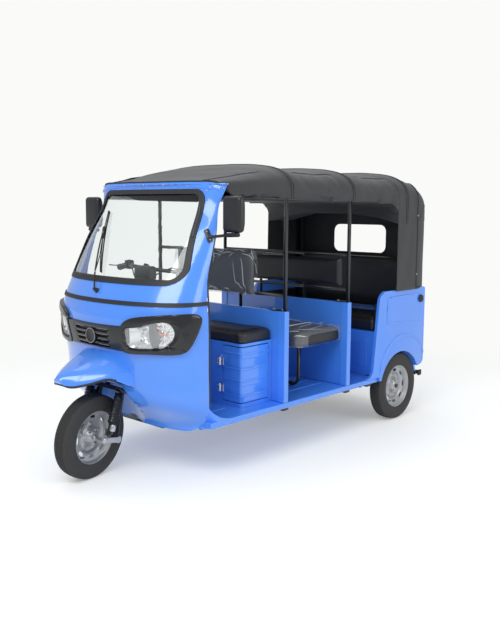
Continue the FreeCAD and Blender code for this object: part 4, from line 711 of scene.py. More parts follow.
def eave(y):
    """Height of the eave seam: a line that falls 25 mm from the front to the flaps."""
    return 1.728 - 0.0185 * (np.asarray(y) + 0.6)


def hem(y):
    """Height of the valance's lower edge, with a quarter circle before the flap."""
    y = np.asarray(y, float)
    along = np.clip((y - FLAP_FRONT + FLAP_CORNER) / FLAP_CORNER, 0, 1)
    return eave(y) - 0.064 - FLAP_CORNER * (1 - np.sqrt(1 - along ** 2))


def joined(name, sheets, gap=4e-4):
    """One mesh of several grids of points, welded where their borders meet."""
    points, faces = [], []
    for grid, wrap in sheets:
        rows, columns = grid.shape[:2]
        faces.append(grid_faces(rows, columns, False, wrap, sum(len(p) for p in points)))
        points.append(grid.reshape(-1, 3))
    piece = mesh_piece(name, np.concatenate(points), np.concatenate(faces))
    work = bmesh.new()
    work.from_mesh(piece.data)
    bmesh.ops.remove_doubles(work, verts=work.verts, dist=gap)
    work.to_mesh(piece.data)
    work.free()
    return piece


def creases(points, seed, count, across, size):
    """Sum of slanted sine waves over places, each of random direction, length and phase."""
    waves = np.random.default_rng(seed)
    total = np.zeros(points.shape[:-1])
    for _ in range(count):
        way = waves.normal(size=3) * across
        total += np.sin(points @ way + waves.uniform(0, 6.28)) * waves.uniform(0.4, 1.0)
    return size * total / count ** 0.5


def drape(points, normals):
    """Cloth over the frame's skin: ridges on the hoops, slack between, creases and a loose hem."""
    y, z = points[..., 1], points[..., 2]
    ridge = sum(np.exp(-((y - hoop) / 0.022) ** 2) for hoop in hoops)
    nearest = np.min([np.abs(y - hoop) for hoop in hoops], axis=0)
    slack = np.clip(nearest / 0.3, 0, 1) ** 1.5
    below = np.clip((eave(y) - z) / 0.06, 0, 1)
    top = np.clip((z - 1.70) / 0.05, 0, 1)
    wave = creases(points, 3, 9, np.array([9.0, 13.0, 9.0]), 1.0)
    fine = creases(points, 5, 12, np.array([28.0, 34.0, 30.0]), 1.0)
    flutter = creases(points, 8, 6, np.array([2.0, 22.0, 4.0]), 1.0)
    move = 0.0035 * ridge * top - 0.006 * slack * top + 0.0022 * wave + 0.0009 * fine
    flap = (y > FLAP_FRONT - 0.02) & (z < 1.6)
    move = move + np.where(flap, 0.0015, 0.003) * flutter * below
    return points + normals * move[..., None]


def roof_grid(stations, columns):
    """Roof and valances, from the header's edge back.

    Meant to run from hem to hem, but the rows start and end further in: see the fault above.
    """
    turns = np.radians(np.linspace(-128, 128, 321))
    out = np.stack([np.sin(turns), np.zeros_like(turns), np.cos(turns)], -1)
    probe = np.arange(canopy_low[1] + 0.0005, canopy_low[1] + 0.18, 0.003)
    starts = np.stack(np.broadcast_arrays(0.0, probe[:, None], axis_height), -1) + out[None] * 2.0
    found = ~np.isnan(cast(canopy_skin, starts, -out[None])[0][..., 0])
    first = probe[np.where(found.any(0), found.argmax(0), len(probe) - 1)]
    first = np.convolve(np.pad(first, 3, "edge"), np.ones(7) / 7, "valid") + 0.002
    rows = []
    for number, y in enumerate(stations):
        place_y = np.maximum(y, first + 0.0006 * number)
        start = np.stack([out[:, 0] * 2, place_y, out[:, 2] * 2 + axis_height], -1)
        points, normals = cast(canopy_skin, start, -out)
        good = ~np.isnan(points[:, 0]) & (normals[:, 1] > -0.7)
        good &= points[:, 2] > hem(points[:, 1]) - 0.02
        good &= np.abs(normals[:, 1]) < 0.8
        points, normals = points[good], normals[good]
        bend = drape(points, normals)
        length = np.r_[0, np.cumsum(np.linalg.norm(np.diff(bend, axis=0), axis=1))]
        high = points[:, 2] - hem(points[:, 1])
        middle = len(points) // 2
        begin = np.interp(0, high[:middle], length[:middle])
        stop = np.interp(0, high[middle:][::-1], length[middle:][::-1])
        wanted = np.linspace(begin, stop, columns)
        rows.append(np.stack([np.interp(wanted, length, bend[:, k]) for k in range(3)], -1))
    return np.array(rows)


def flap_grid(side, roof_edge, rows=56):
    """One side flap, from the roof's edge down to where it hangs outside the body."""
    low = canopy_low[2] - 0.012
    steps = np.linspace(0, 1, rows)[:, None]
    height = roof_edge[None, :, 2] * (1 - steps) + low * steps
    y = np.broadcast_to(roof_edge[None, :, 1], height.shape)
    start = np.stack([np.full_like(height, side * 1.0), y,
                      np.maximum(height, canopy_low[2] + 0.002)], -1)
    points, normals = laid(canopy_skin, start, (-side, 0, 0), reach=0.0)
    grid = drape(points, normals)
    out = np.clip((canopy_low[2] + 0.05 - height) / 0.045, 0, 1)
    out = out * out * (3 - 2 * out)
    grid[..., 2] = height
    grid[..., 0] += out * (side * 0.6405 - grid[..., 0])
    grid[0] = roof_edge
    return grid


def back_grid(outline, rings=44):
    """Rear curtain: rings of points between the sheet's last edge and the rounded window.

    Each point blends from the edge to the window, and is then carried onto the frame's skin
    by a ray towards a point inside the canopy.
    """
    half, low, high, corner = WINDOW
    middle = (low + high) / 2
    inside = np.array([0, outline[:, 1].min() - 0.25, 1.30])
    angle = np.arctan2(outline[:, 2] - middle, outline[:, 0])
    way = np.stack([np.cos(angle), np.sin(angle)], -1)
    reach = np.linspace(0.02, 0.5, 400)[:, None, None]
    trial = np.abs(way[None] * reach)
    beyond = np.maximum(trial - np.array([half - corner, (high - low) / 2 - corner]), 0)
    outside = np.hypot(beyond[..., 0], beyond[..., 1]) > corner
    edge = way * reach[outside.argmax(0), 0]
    inner = np.stack([edge[:, 0], np.full(len(edge), canopy_high[1]), middle + edge[:, 1]], -1)
    share = np.linspace(0, 1, rings)[:, None, None]
    grid = outline[None] * (1 - share) + inner[None] * share
    away = grid - inside
    away /= np.linalg.norm(away, axis=-1, keepdims=True)
    points, normals = cast(canopy_skin, inside + away * 2, -away)
    missed = np.isnan(points[..., 0]) | (share[..., 0] == 0)
    points[missed], normals[missed] = grid[missed], 0
    billow = creases(points, 21, 9, np.array([12.0, 5.0, 10.0]),
                     0.002) * np.sin(np.pi * share[..., 0])
    return points + normals * billow[..., None]


def foot_edge(first, last, count=60):
    """Lower edge of the curtain, round the body's rear corners from one flap to the other."""
    pivot = np.array([0, first[1] - 0.25, 0])
    start, stop = (math.atan2(p[1] - pivot[1], p[0]) for p in (first, last))
    turn = np.linspace(start, stop, count)[1:-1]
    way = np.stack([np.cos(turn), np.sin(turn), np.zeros_like(turn)], -1)
    level = np.array([0, 0, canopy_low[2] + 0.003])
    points, _ = cast(canopy_skin, pivot + level + way * 2, -way)
    blend = np.clip(np.minimum(np.arange(len(turn)), np.arange(len(turn))[::-1]) / 5, 0, 1)
    points[:, 2] = first[2] * (1 - blend) + points[:, 2] * blend
    return points


BACK_START = 2.600 - AXLE
stations = np.r_[np.linspace(canopy_low[1], canopy_low[1] + 0.20, 26)[:-1],
                 np.linspace(canopy_low[1] + 0.20, FLAP_FRONT - FLAP_CORNER, 92)[:-1],
                 np.linspace(FLAP_FRONT - FLAP_CORNER, FLAP_FRONT + 0.0015, 16)[:-1],
                 np.linspace(FLAP_FRONT + 0.0015, BACK_START, 30)]
roof = roof_grid(stations, 113)
behind = stations >= FLAP_FRONT + 0.001
left_flap = flap_grid(1, roof[behind, -1])
right_flap = flap_grid(-1, roof[behind, 0])
outline = np.concatenate([right_flap[::-1, -1], roof[-1, 1:-1], left_flap[:, -1]])
outline = np.concatenate([outline, foot_edge(outline[-1], outline[0])])
curtain = back_grid(outline)
canvas = joined("canvas_top", [(roof, False), (left_flap, False), (right_flap, False),
                               (curtain, True)])
outward(canvas)
cloth_wall = canvas.modifiers.new("cloth thickness", "SOLIDIFY")
cloth_wall.thickness = 0.0025
cloth_wall.offset = -1
place(canvas, material=CANVAS, slot="black_canvas", angle=50)
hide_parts("canopy")


# %% [markdown]
# ## Cushions
#
# Each cushion starts as a rounded block a little smaller than its place: outline
# |x / a|^m + |y / b|^m = 1 in plan. Its mesh is made even with voxels, and air pressure then
# pushes the cover out for twenty steps, with no weight. The move is capped, the underside stays
# flat where it rests, and one subdivision smooths it. Seams come after.

# %%
def applied(piece):
    """A new mesh of the piece as its modifiers leave it."""
    graph = bpy.context.evaluated_depsgraph_get()
    return bpy.data.meshes.new_from_object(piece.evaluated_get(graph))


def even_mesh(piece, cell):
    """Rebuild a closed piece with even quads of one size."""
    remesh = piece.modifiers.new("even", "REMESH")
    remesh.mode = "VOXEL"
    remesh.voxel_size = cell * 1.28
    remesh.use_smooth_shade = True
    baked = applied(piece)
    piece.modifiers.remove(remesh)
    piece.data = baked
    return piece


def coordinates(mesh):
    """Vertex positions of a mesh as an array."""
    spot = np.empty(len(mesh.vertices) * 3)
    mesh.vertices.foreach_get("co", spot)
    return spot.reshape(-1, 3)


def block(name, low, high, corner, edge=0.012):
    """A block with rounded upright corners and softened top and bottom edges."""
    low, high = np.array(low, float), np.array(high, float)
    half, middle = (high - low) / 2, (high + low) / 2
    turn = np.linspace(0, 2 * math.pi, 96, endpoint=False)
    corner = min(corner, half[0] * 0.98, half[1] * 0.98)
    spot = np.stack([np.cos(turn), np.sin(turn)], -1)
    ring = np.sign(spot) * (half[:2] - corner) + spot * corner
    inward = np.array([0, 0.35, 1.0, 1.0, 0.35, 0])
    level = np.array([-1, -1, -1, 1, 1, 1.0]) * half[2]
    level[[1, 4]] += [edge * 0.1, -edge * 0.1]
    level[[2, 3]] += [edge, -edge]
    shrink = 1 - edge * (1 - inward)[:, None, None] / half[:2]
    rows = np.concatenate([ring[None] * shrink, np.broadcast_to(level[:, None, None], (6, 96, 1))],
                          -1) + middle
    quads = grid_faces(6, 96, False, True).tolist()
    return outward(mesh_piece(name, rows, quads + [list(range(96))[::-1],
                                                   [5 * 96 + k for k in range(96)]]))


def blown(piece, cap, pressure=4.0, steps=20, rest=None):
    """Let pressure fill the cover, cap the move, and keep the resting side flat."""
    start = coordinates(piece.data)
    scene = bpy.context.scene
    cloth = piece.modifiers.new("cover", "CLOTH")
    cloth.settings.use_pressure = True
    cloth.settings.uniform_pressure_force = pressure
    cloth.settings.mass = 0.3
    cloth.settings.quality = 4
    cloth.settings.tension_stiffness = cloth.settings.compression_stiffness = 12
    cloth.settings.bending_stiffness = 0.6
    cloth.settings.effector_weights.gravity = 0
    cloth.collision_settings.use_collision = False
    for frame_number in range(1, steps + 1):
        scene.frame_set(frame_number)
    shaped = piece.evaluated_get(bpy.context.evaluated_depsgraph_get()).to_mesh()
    move = coordinates(shaped) - start
    piece.modifiers.remove(cloth)
    scene.frame_set(1)
    move -= move.mean(0)
    length = np.linalg.norm(move, axis=1, keepdims=True)
    move *= np.minimum(1, cap / np.maximum(length, 1e-9))
    final = start + move
    if rest is not None:
        axis, level, side = rest
        final[:, axis] = np.maximum(final[:, axis],
                                    level) if side > 0 else np.minimum(final[:, axis], level)
    piece.data.vertices.foreach_set("co", final.ravel())
    piece.data.update()
    return piece


def cushion(part, corner, cap, shrink, rest, crease_seed, crown=None):
    """A stuffed stand-in for a frame cushion, with small creases in the cover."""
    low, high = span(part)
    give = np.array(shrink)
    start_low, start_high = low + give, high - give
    axis, side = rest
    if side > 0:
        start_low[axis] = low[axis]
    else:
        start_high[axis] = high[axis]
    piece = even_mesh(block(part + "_cover", start_low, start_high, corner), 0.011)
    blown(piece, cap, rest=(axis, low[axis] if side > 0 else high[axis], side))
    spot = coordinates(piece.data)
    reach_low, reach_high = spot.min(0), spot.max(0)
    spot = low + (spot - reach_low) / (reach_high - reach_low) * (high - low)
    normal = np.empty(len(spot) * 3)
    piece.data.vertices.foreach_get("normal", normal)
    move = creases(spot, crease_seed, 10, np.array([14.0, 20.0, 20.0]), 0.0009)
    spot = np.clip(spot + normal.reshape(-1, 3) * move[:, None], low + 2e-4,
                   high - 2e-4 + np.array(crown or 0))
    piece.data.vertices.foreach_set("co", spot.ravel())
    finer = piece.modifiers.new("finer", "SUBSURF")
    finer.levels = finer.render_levels = 1
    finer_mesh = applied(piece)
    piece.modifiers.clear()
    piece.data = finer_mesh
    place(piece, material=VINYL, slot=SLOT_OF[part], angle=60)
    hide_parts(part)
    return piece


def girth(piece, axis, level, count=160, inset=0.0):
    """Closed path round a cushion at one level of an axis, found with rays from outside."""
    spot = coordinates(piece.data)
    low, high = spot.min(0), spot.max(0)
    u, v = [k for k in range(3) if k != axis]
    turn = np.linspace(0, 2 * math.pi, count, endpoint=False)
    half = (high - low) / 2
    start = np.zeros((count, 3))
    start[:, u] = (high
                   + low)[u] / 2 + np.sign(np.cos(turn)) * np.abs(np.cos(turn)) ** 0.4 * (half[u]
                                                                                          + 0.05)
    start[:, v] = (high
                   + low)[v] / 2 + np.sign(np.sin(turn)) * np.abs(np.sin(turn)) ** 0.4 * (half[v]
                                                                                          + 0.05)
    start[:, axis] = level
    aim = start.copy()
    for k in (u, v):
        limit = half[k] - min(half[u], half[v]) * 0.9
        centre = (high + low)[k] / 2
        aim[:, k] = np.clip(start[:, k], centre - limit, centre + limit)
    way = aim - start
    way /= np.linalg.norm(way, axis=1, keepdims=True)
    points, normals = cast(tree_of(piece.data), start, way)
    good = ~np.isnan(points[:, 0])
    return points[good] - normals[good] * inset


def piped(piece, axis, levels, radius=0.0028):
    """Welted seams round a cushion."""
    for number, level in enumerate(levels):
        welt = sweep("%s_welt_%d" % (piece.name, number),
                     girth(piece, axis, level, inset=radius * 0.3), radius, 8, True)
        place(welt, material=WELT, slot="black_vinyl")


# piping cut from the same vinyl, a little shinier where it is stretched
WELT = finish_of("stretched vinyl piping", "#131417", 0.34, grain_mm=1.5, depth_mm=0.03,
                 second="#191b1e", patch_mm=30)

driver_cushion = cushion("driver_seat", 0.045, 0.013, (0.008, 0.008, 0.012), (2, 1), 31)
bench_cushion = cushion("middle_seat", 0.05, 0.016, (0.009, 0.010, 0.014), (2, 1), 32)
rear_cushion = cushion("rear_seat", 0.05, 0.022, (0.008, 0.012, 0.014), (2, 1), 33)
driver_pad = cushion("driver_backrest", 0.02, 0.009, (0.008, 0.007, 0.008), (1, -1), 34)
bench_pad = cushion("middle_backrest", 0.02, 0.009, (0.008, 0.006, 0.008), (1, -1), 35)
rear_pad = cushion("rear_backrest", 0.03, 0.016, (0.010, 0.010, 0.012), (1, -1), 36)
for piece, axis, offsets in ((driver_cushion, 2, (0.016, 0.070)),
                             (bench_cushion, 2, (0.018, 0.086)), (rear_cushion, 2, (0.018, 0.088)),
                             (driver_pad, 1, (0.040,)), (bench_pad, 1, (0.036,)),
                             (rear_pad, 1, (0.052,))):
    piped(piece, axis, coordinates(piece.data)[:, axis].min() + np.array(offsets))

# %% [markdown]
# ## Packing film
#
# New cushions are still in clear film. It is a loose sleeve: the cushion's cross-section plus a
# few millimetres, drawn in towards its ends, with ridged creases r = 1 - |sin| that catch light.
# Thin light strips along its folds are painted highlights.

# %%
def crinkle(points, seed, size):
    """Sharp-crested creases: a sum of (1 - |sin|)^2 waves of random direction."""
    waves = np.random.default_rng(seed)
    total = np.zeros(points.shape[:-1])
    for _ in range(9):
        way = waves.normal(size=3) * waves.uniform(14, 42)
        total += (1 - np.abs(np.sin(points @ way + waves.uniform(0,
                                                                 6.28)))) ** 3 * waves.uniform(0.3,
                                                                                               1)
    return size * (total - 1.2)


def gathered(name, pieces):
    """Several closed pieces as one object."""
    work = bmesh.new()
    for piece in pieces:
        work.from_mesh(piece.data)
        bpy.data.objects.remove(piece)
    mesh = bpy.data.meshes.new(name)
    work.to_mesh(mesh)
    work.free()
    joined_piece = bpy.data.objects.new(name, mesh)
    bpy.context.scene.collection.objects.link(joined_piece)
    return joined_piece


def paint_fold_highlights(name, grid, out, seed, count=84, steps=16):
    """Painted highlights on the film's folds: thin light strips along short walks over its grid
    that bend a little at each step.
    """
    draw = np.random.default_rng(seed + 90)
    rows, around = grid.shape[:2]
    pieces = []
    for _ in range(count):
        heading = draw.uniform(0, 2 * math.pi)
        pace = draw.uniform(0.5, 1.7)
        turns = heading + np.cumsum(draw.normal(0, 0.16, steps))
        i = np.clip(draw.uniform(4, rows - 5) + np.cumsum(np.cos(turns)) * pace, 1, rows - 2)
        j = (draw.uniform(0, around) + np.cumsum(np.sin(turns)) * pace) % around
        low, column = i.astype(int), j.astype(int) % around
        path = grid[low, column] + out[low, column] * 0.0012
        for axis in range(3):
            path[1:-1, axis] = np.convolve(path[:, axis], np.ones(3) / 3, "valid")
        path = path[np.r_[True, np.linalg.norm(np.diff(path, axis=0), axis=1) > 1e-4]]
        if len(path) < 5:
            continue
        width = draw.uniform(0.0009, 0.0026) * np.sin(np.linspace(0.25, math.pi - 0.25, len(path)))
        pieces.append(sweep("fold", path, width, 5))
    # the strips are painted highlights, a light sheet laid along the folds
    place(gathered(name + "_folds", pieces), material=PAINTED_FOLD_HIGHLIGHT)


def sleeve(name, part, loose, tail, seed, axis_rows=140, around=108):
    """Film round a cushion's cross-section in y and z, from end to end in x."""
    low, high = span(part)
    middle, half = (low + high) / 2, (high - low) / 2
    turn = np.linspace(0, 2 * math.pi, around, endpoint=False)
    power = 0.35
    across = np.stack([np.sign(np.cos(turn)) * np.abs(np.cos(turn)) ** power * (half[1] + loose),
                       np.sign(np.sin(turn)) * np.abs(np.sin(turn)) ** power * (half[2] + loose)],
                      -1)
    x = np.linspace(low[0] - tail, high[0] + tail, axis_rows)
    beyond = np.clip((np.abs(x - middle[0]) - half[0]) / tail, 0, 1)[:, None]
    squeeze = 1 - 0.35 * beyond
    grid = np.stack([np.broadcast_to(x[:, None], (axis_rows, around)),
                     middle[1] + across[None, :, 0] * squeeze,
                     middle[2] + across[None, :, 1] * squeeze - 0.006 * beyond], -1)
    out = grid - np.stack([grid[..., 0], np.full_like(x, middle[1])[:, None] + 0 * turn,
                           np.full_like(x, middle[2])[:, None] + 0 * turn], -1)
    out /= np.linalg.norm(out, axis=-1, keepdims=True)
    grid = grid + out * (crinkle(grid, seed, 0.0022) + creases(grid, seed + 1, 8, 22.0,
                                                               0.0015))[..., None]
    piece = surface(name, grid, False, True)
    place(piece, material=FILM, angle=180)
    # painted highlights along the film's folds
    paint_fold_highlights(name, grid, out, seed)
    return piece


sleeve("driver_backrest_film", "driver_backrest", 0.006, 0.025, 41)
sleeve("bench_seat_film", "middle_seat", 0.007, 0.035, 43)


# %% [markdown]
# ## Tyres and wheels
#
# The tyre's half section is read off the frame's own tyre; four ribs are then cut by zigzag
# grooves: depth d where |s - s_k - A * tri(n * t)| < w / 2, for place s across the tread and
# angle t round it. Fine sipes nick the shoulders.

# %%
def axle_of(part):
    """Centre of a wheel part and its axle: the way in which its points spread least."""
    spot = coordinates(frame["nodes"][part].data)
    centre = (spot.min(0) + spot.max(0)) / 2
    _, ways = np.linalg.eigh(np.cov((spot - centre).T))
    axle = ways[:, 0] * np.sign(ways[0, 0])
    centre = centre + axle * (((spot - centre) @ axle).min() + ((spot - centre) @ axle).max()) / 2
    return centre, axle


def triangle(turns):
    """A wave of straight lines between -1 and 1, one cycle for each whole number."""
    return 4 * np.abs(turns - np.floor(turns + 0.5)) - 1


def tyre(part, body):
    """A treaded stand-in for a frame tyre."""
    centre, axle = axle_of(part)
    spot = coordinates(frame["nodes"][part].data) - centre
    along = spot @ axle
    radius = np.linalg.norm(spot - along[:, None] * axle, axis=1)
    big, width = radius.max(), np.abs(along).max()
    bead = radius.min()
    # half section from one bead over the tread to the other: (along, radius)
    wall = np.array([(0.80, bead), (0.90, bead + 0.010), (0.985, bead + 0.030),
                     (1.0, bead + 0.044), (0.975, bead + 0.060), (0.90, big - 0.0135),
                     (0.86, big - 0.0075), (0.80, big - 0.0045)])
    wall[:, 0] *= width
    tread_half = 0.80 * width
    across = np.linspace(tread_half, -tread_half, 57)[1:-1]
    crown = big - 0.0045 * (across / tread_half) ** 2
    left = smooth(np.c_[wall, np.zeros(len(wall))], 22)[:, :2]
    section = np.concatenate([left, np.c_[across, crown], left[::-1] * [-1, 1]])
    inner = np.array([(-0.70 * width, bead + 0.004), (-0.80 * width, bead + 0.03), (0, big - 0.03),
                      (0.80 * width, bead + 0.03), (0.70 * width, bead + 0.004)])
    section = np.concatenate([section, inner])
    turns = np.linspace(0, 1, 336, endpoint=False)
    place_across, base = section[None, :, 0], section[None, :, 1]
    on_tread = (np.abs(place_across) < tread_half * 1.02) & (base > big - 0.012)
    wave = triangle(turns * 56)[:, None]
    cut = np.zeros((len(turns), len(section)))
    for k, (where, size) in enumerate(((-0.46, 0.0035), (0.0, 0.0042), (0.46, 0.0035))):
        line = where * tread_half + 0.0016 * wave * (-1) ** k
        cut = np.maximum(cut, np.clip((size - np.abs(place_across - line)) / 0.0012, 0, 1) * 0.0048)
    for where in (-0.74, -0.23, 0.23, 0.74):
        line = where * tread_half + 0.0022 * triangle(turns * 112)[:, None]
        cut = np.maximum(cut, np.clip((0.0011 - np.abs(place_across - line)) / 0.0006, 0,
                                      1) * 0.0022)
    sipe = (triangle(turns * 112)[:, None] > 0.72) & (np.abs(np.abs(place_across) - tread_half
                                                             * 0.93) < 0.006)
    cut = np.where(on_tread, np.maximum(cut, sipe * 0.002), 0)
    rib = 0.0007 * np.exp(-((base - bead - 0.022) / 0.0022) ** 2) * (np.abs(place_across) > 0.8
                                                                     * width)
    level = base - cut
    place_across = place_across + np.sign(place_across) * rib
    seed = np.array([0, 0, 1.0])
    first = np.cross(axle, seed)
    first /= np.linalg.norm(first)
    second = np.cross(axle, first)
    angle = turns * 2 * math.pi
    ring = np.cos(angle)[:, None] * first + np.sin(angle)[:, None] * second
    points = (centre + np.broadcast_to(place_across,
                                       level.shape)[..., None] * axle + level[..., None]
              * ring[:, None])
    piece = outward(surface(part + "_tread", points, True, True))
    place(piece, body, TYRE, SLOT_OF[part], angle=32)
    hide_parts(part)


def nuts(name, part, body, outside, ring_radius, count, across, height, inset):
    """Wheel nuts in a ring on the outer face of a wheel, each over a washer."""
    centre, axle = axle_of(part)
    axle = axle * outside
    tree = skin(part)
    first = np.cross(axle, [0, 0, 1.0])
    first /= np.linalg.norm(first)
    second = np.cross(axle, first)
    turn = np.linspace(0, 2 * math.pi, count, endpoint=False) + 0.3
    ring = centre + ring_radius * (np.cos(turn)[:, None] * first + np.sin(turn)[:, None] * second)
    spots, _ = laid(tree, ring, -axle, -inset, 0.3)
    template, faces = hexagon(across, height)
    place(scatter(name, template, faces, spots, np.broadcast_to(axle, spots.shape)), body, ZINC,
          "silver_steel")
    washer, washer_faces = dome(across * 0.72, height * 0.3)
    place(scatter(name + "_washers", washer, washer_faces, spots,
                  np.broadcast_to(axle, spots.shape)), body, ZINC, "silver_steel")


for part, wheel, body, side in (("front_tyre", "front_wheel", "wheel_front", 1),
                                ("rear_left_tyre", "rear_left_wheel", "wheel_rear_left", 1),
                                ("rear_right_tyre", "rear_right_wheel", "wheel_rear_right", -1)):
    tyre(part, body)
    nuts(wheel + "_nuts", wheel, body, side, 0.043, 5, 0.017, 0.010, 0.0)
    if part == "front_tyre":
        nuts(wheel + "_nuts_far", wheel, body, -1, 0.043, 5, 0.017, 0.010, 0.0)
    centre, axle = axle_of(wheel)
    rim = np.array([math.cos(0.9), math.sin(0.9)])
    first = np.cross(axle, [0, 0, 1.0])
    first /= np.linalg.norm(first)
    radial = rim[0] * first + rim[1] * np.cross(axle, first)
    foot = centre + radial * 0.140 + axle * side * 0.010
    stem = sweep(wheel + "_valve", [foot, foot + axle * side * 0.012 - radial * 0.002,
                                    foot + axle * side * 0.030 - radial * 0.008],
                 [0.0045, 0.0038, 0.0034], 10)
    place(stem, body, RUBBER, "seal_rubber")


# %% [markdown]
# ## Headlamps
#
# The lens outline is read off the frame: rays from the lamp's middle, seen from the front, find
# its rim. Lens and bowls are polar grids P(r, t) = c + r * (rim(t) - c). The bowl's depth is
# D * (1 - r^2), with flutes that fan out from the bulb as in a pressed reflector.

# %%
lamp_skin = skin("headlamps")
lamp_low, lamp_high = span("headlamps")


def from_front(tree, x, z, lift=0.0):
    """Points of a skin met by looking back along the vehicle at (x, z)."""
    x, z = np.broadcast_arrays(np.asarray(x, float), np.asarray(z, float))
    start = np.stack([x, np.full(x.shape, cad_low[1] - 0.2), z], -1)
    points, normals = cast(tree, start, (0, 1, 0))
    return points + normals * lift, normals


def lamp_rim(centre, count):
    """Rim of the left lens in x and z, at even turns about a centre."""
    turn = np.linspace(0, 2 * math.pi, count, endpoint=False)
    reach = np.linspace(0.01, 0.26, 500)
    x = centre[0] + np.cos(turn)[:, None] * reach
    z = centre[1] + np.sin(turn)[:, None] * reach
    inside = ~np.isnan(from_front(lamp_skin, x, z)[0][..., 0])
    last = reach[(inside * np.arange(1, 501)).argmax(1)]
    last = np.convolve(np.r_[last[-3:], last, last[:3]], np.ones(7) / 7, "valid")
    return np.stack([centre[0] + np.cos(turn) * last, centre[1] + np.sin(turn) * last], -1)


def polar(rim, centre, shares):
    """Rings of (x, z) places from a centre out to a rim."""
    shares = np.asarray(shares, float)[:, None, None]
    return np.asarray(centre) + shares * (rim - np.asarray(centre))


def clipped(rim, centre, low=-9.0, high=9.0):
    """The rim cut off at two upright lines, each point moved along its own spoke."""
    way = rim - centre
    limit = np.ones(len(rim))
    for edge, above in ((high, True), (low, False)):
        over = way[:, 0] > 1e-6 if above else way[:, 0] < -1e-6
        reach = (edge - centre[0]) / np.where(np.abs(way[:, 0]) < 1e-6, 1e-6, way[:, 0])
        limit = np.where(over & (reach > 0), np.minimum(limit, reach), limit)
    return centre + way * limit[:, None]


middle = np.array([0.405, 0.892])
rim = lamp_rim(middle, 140)
divide = 0.434
lens_rows = polar(rim, middle, np.linspace(1.0, 0.02, 14))
lens_outer, _ = from_front(lamp_skin, lens_rows[..., 0], lens_rows[..., 1])
spare = np.isnan(lens_outer[..., 0])
lens_outer[spare] = np.stack([lens_rows[..., 0], np.full(spare.shape, np.nan), lens_rows[..., 1]],
                             -1)[spare]
for row in range(len(lens_outer)):
    gaps = np.isnan(lens_outer[row, :, 1])
    if gaps.any():
        lens_outer[row, gaps, 1] = np.interp(np.flatnonzero(gaps), np.flatnonzero(~gaps),
                                             lens_outer[row, ~gaps, 1])
rim_depth = lens_outer[0, :, 1]


def lens_depth(x, z):
    """How far back the lens lies at (x, z), as a smooth fit of second order over its points."""
    spot = lens_outer.reshape(-1, 3)
    terms = lambda a, b: np.stack([np.ones_like(a), a, b, a * a, a * b, b * b, a ** 3, a ** 4], -1)
    fit = np.linalg.lstsq(terms(spot[:, 0], spot[:, 2]), spot[:, 1], rcond=None)[0]
    return terms(np.asarray(x), np.asarray(z)) @ fit


def bowl(rim, centre, deep, flutes, steps=14):
    """Front face of a fluted bowl behind the lens: rings from the rim to the bulb."""
    shares = np.linspace(1.0, 0.10, steps)
    grid = polar(rim, centre, shares)
    turn = np.arctan2(grid[..., 1] - centre[1], grid[..., 0] - centre[0])
    flute = 0.0035 * np.abs(np.sin(turn * flutes / 2)) * np.sin(np.pi * shares)[:, None]
    step = 0.004 * (np.floor(shares * 4) % 2)[:, None]
    edge = lens_depth(grid[0, :, 0], grid[0, :, 1])[None] + 0.010
    core = lens_depth(centre[0], centre[1]) + deep
    blend = (shares ** 2)[:, None]
    depth = edge * blend + core * (1 - blend) + flute + step * 0.5
    return np.stack([grid[..., 0], depth, grid[..., 1]], -1)


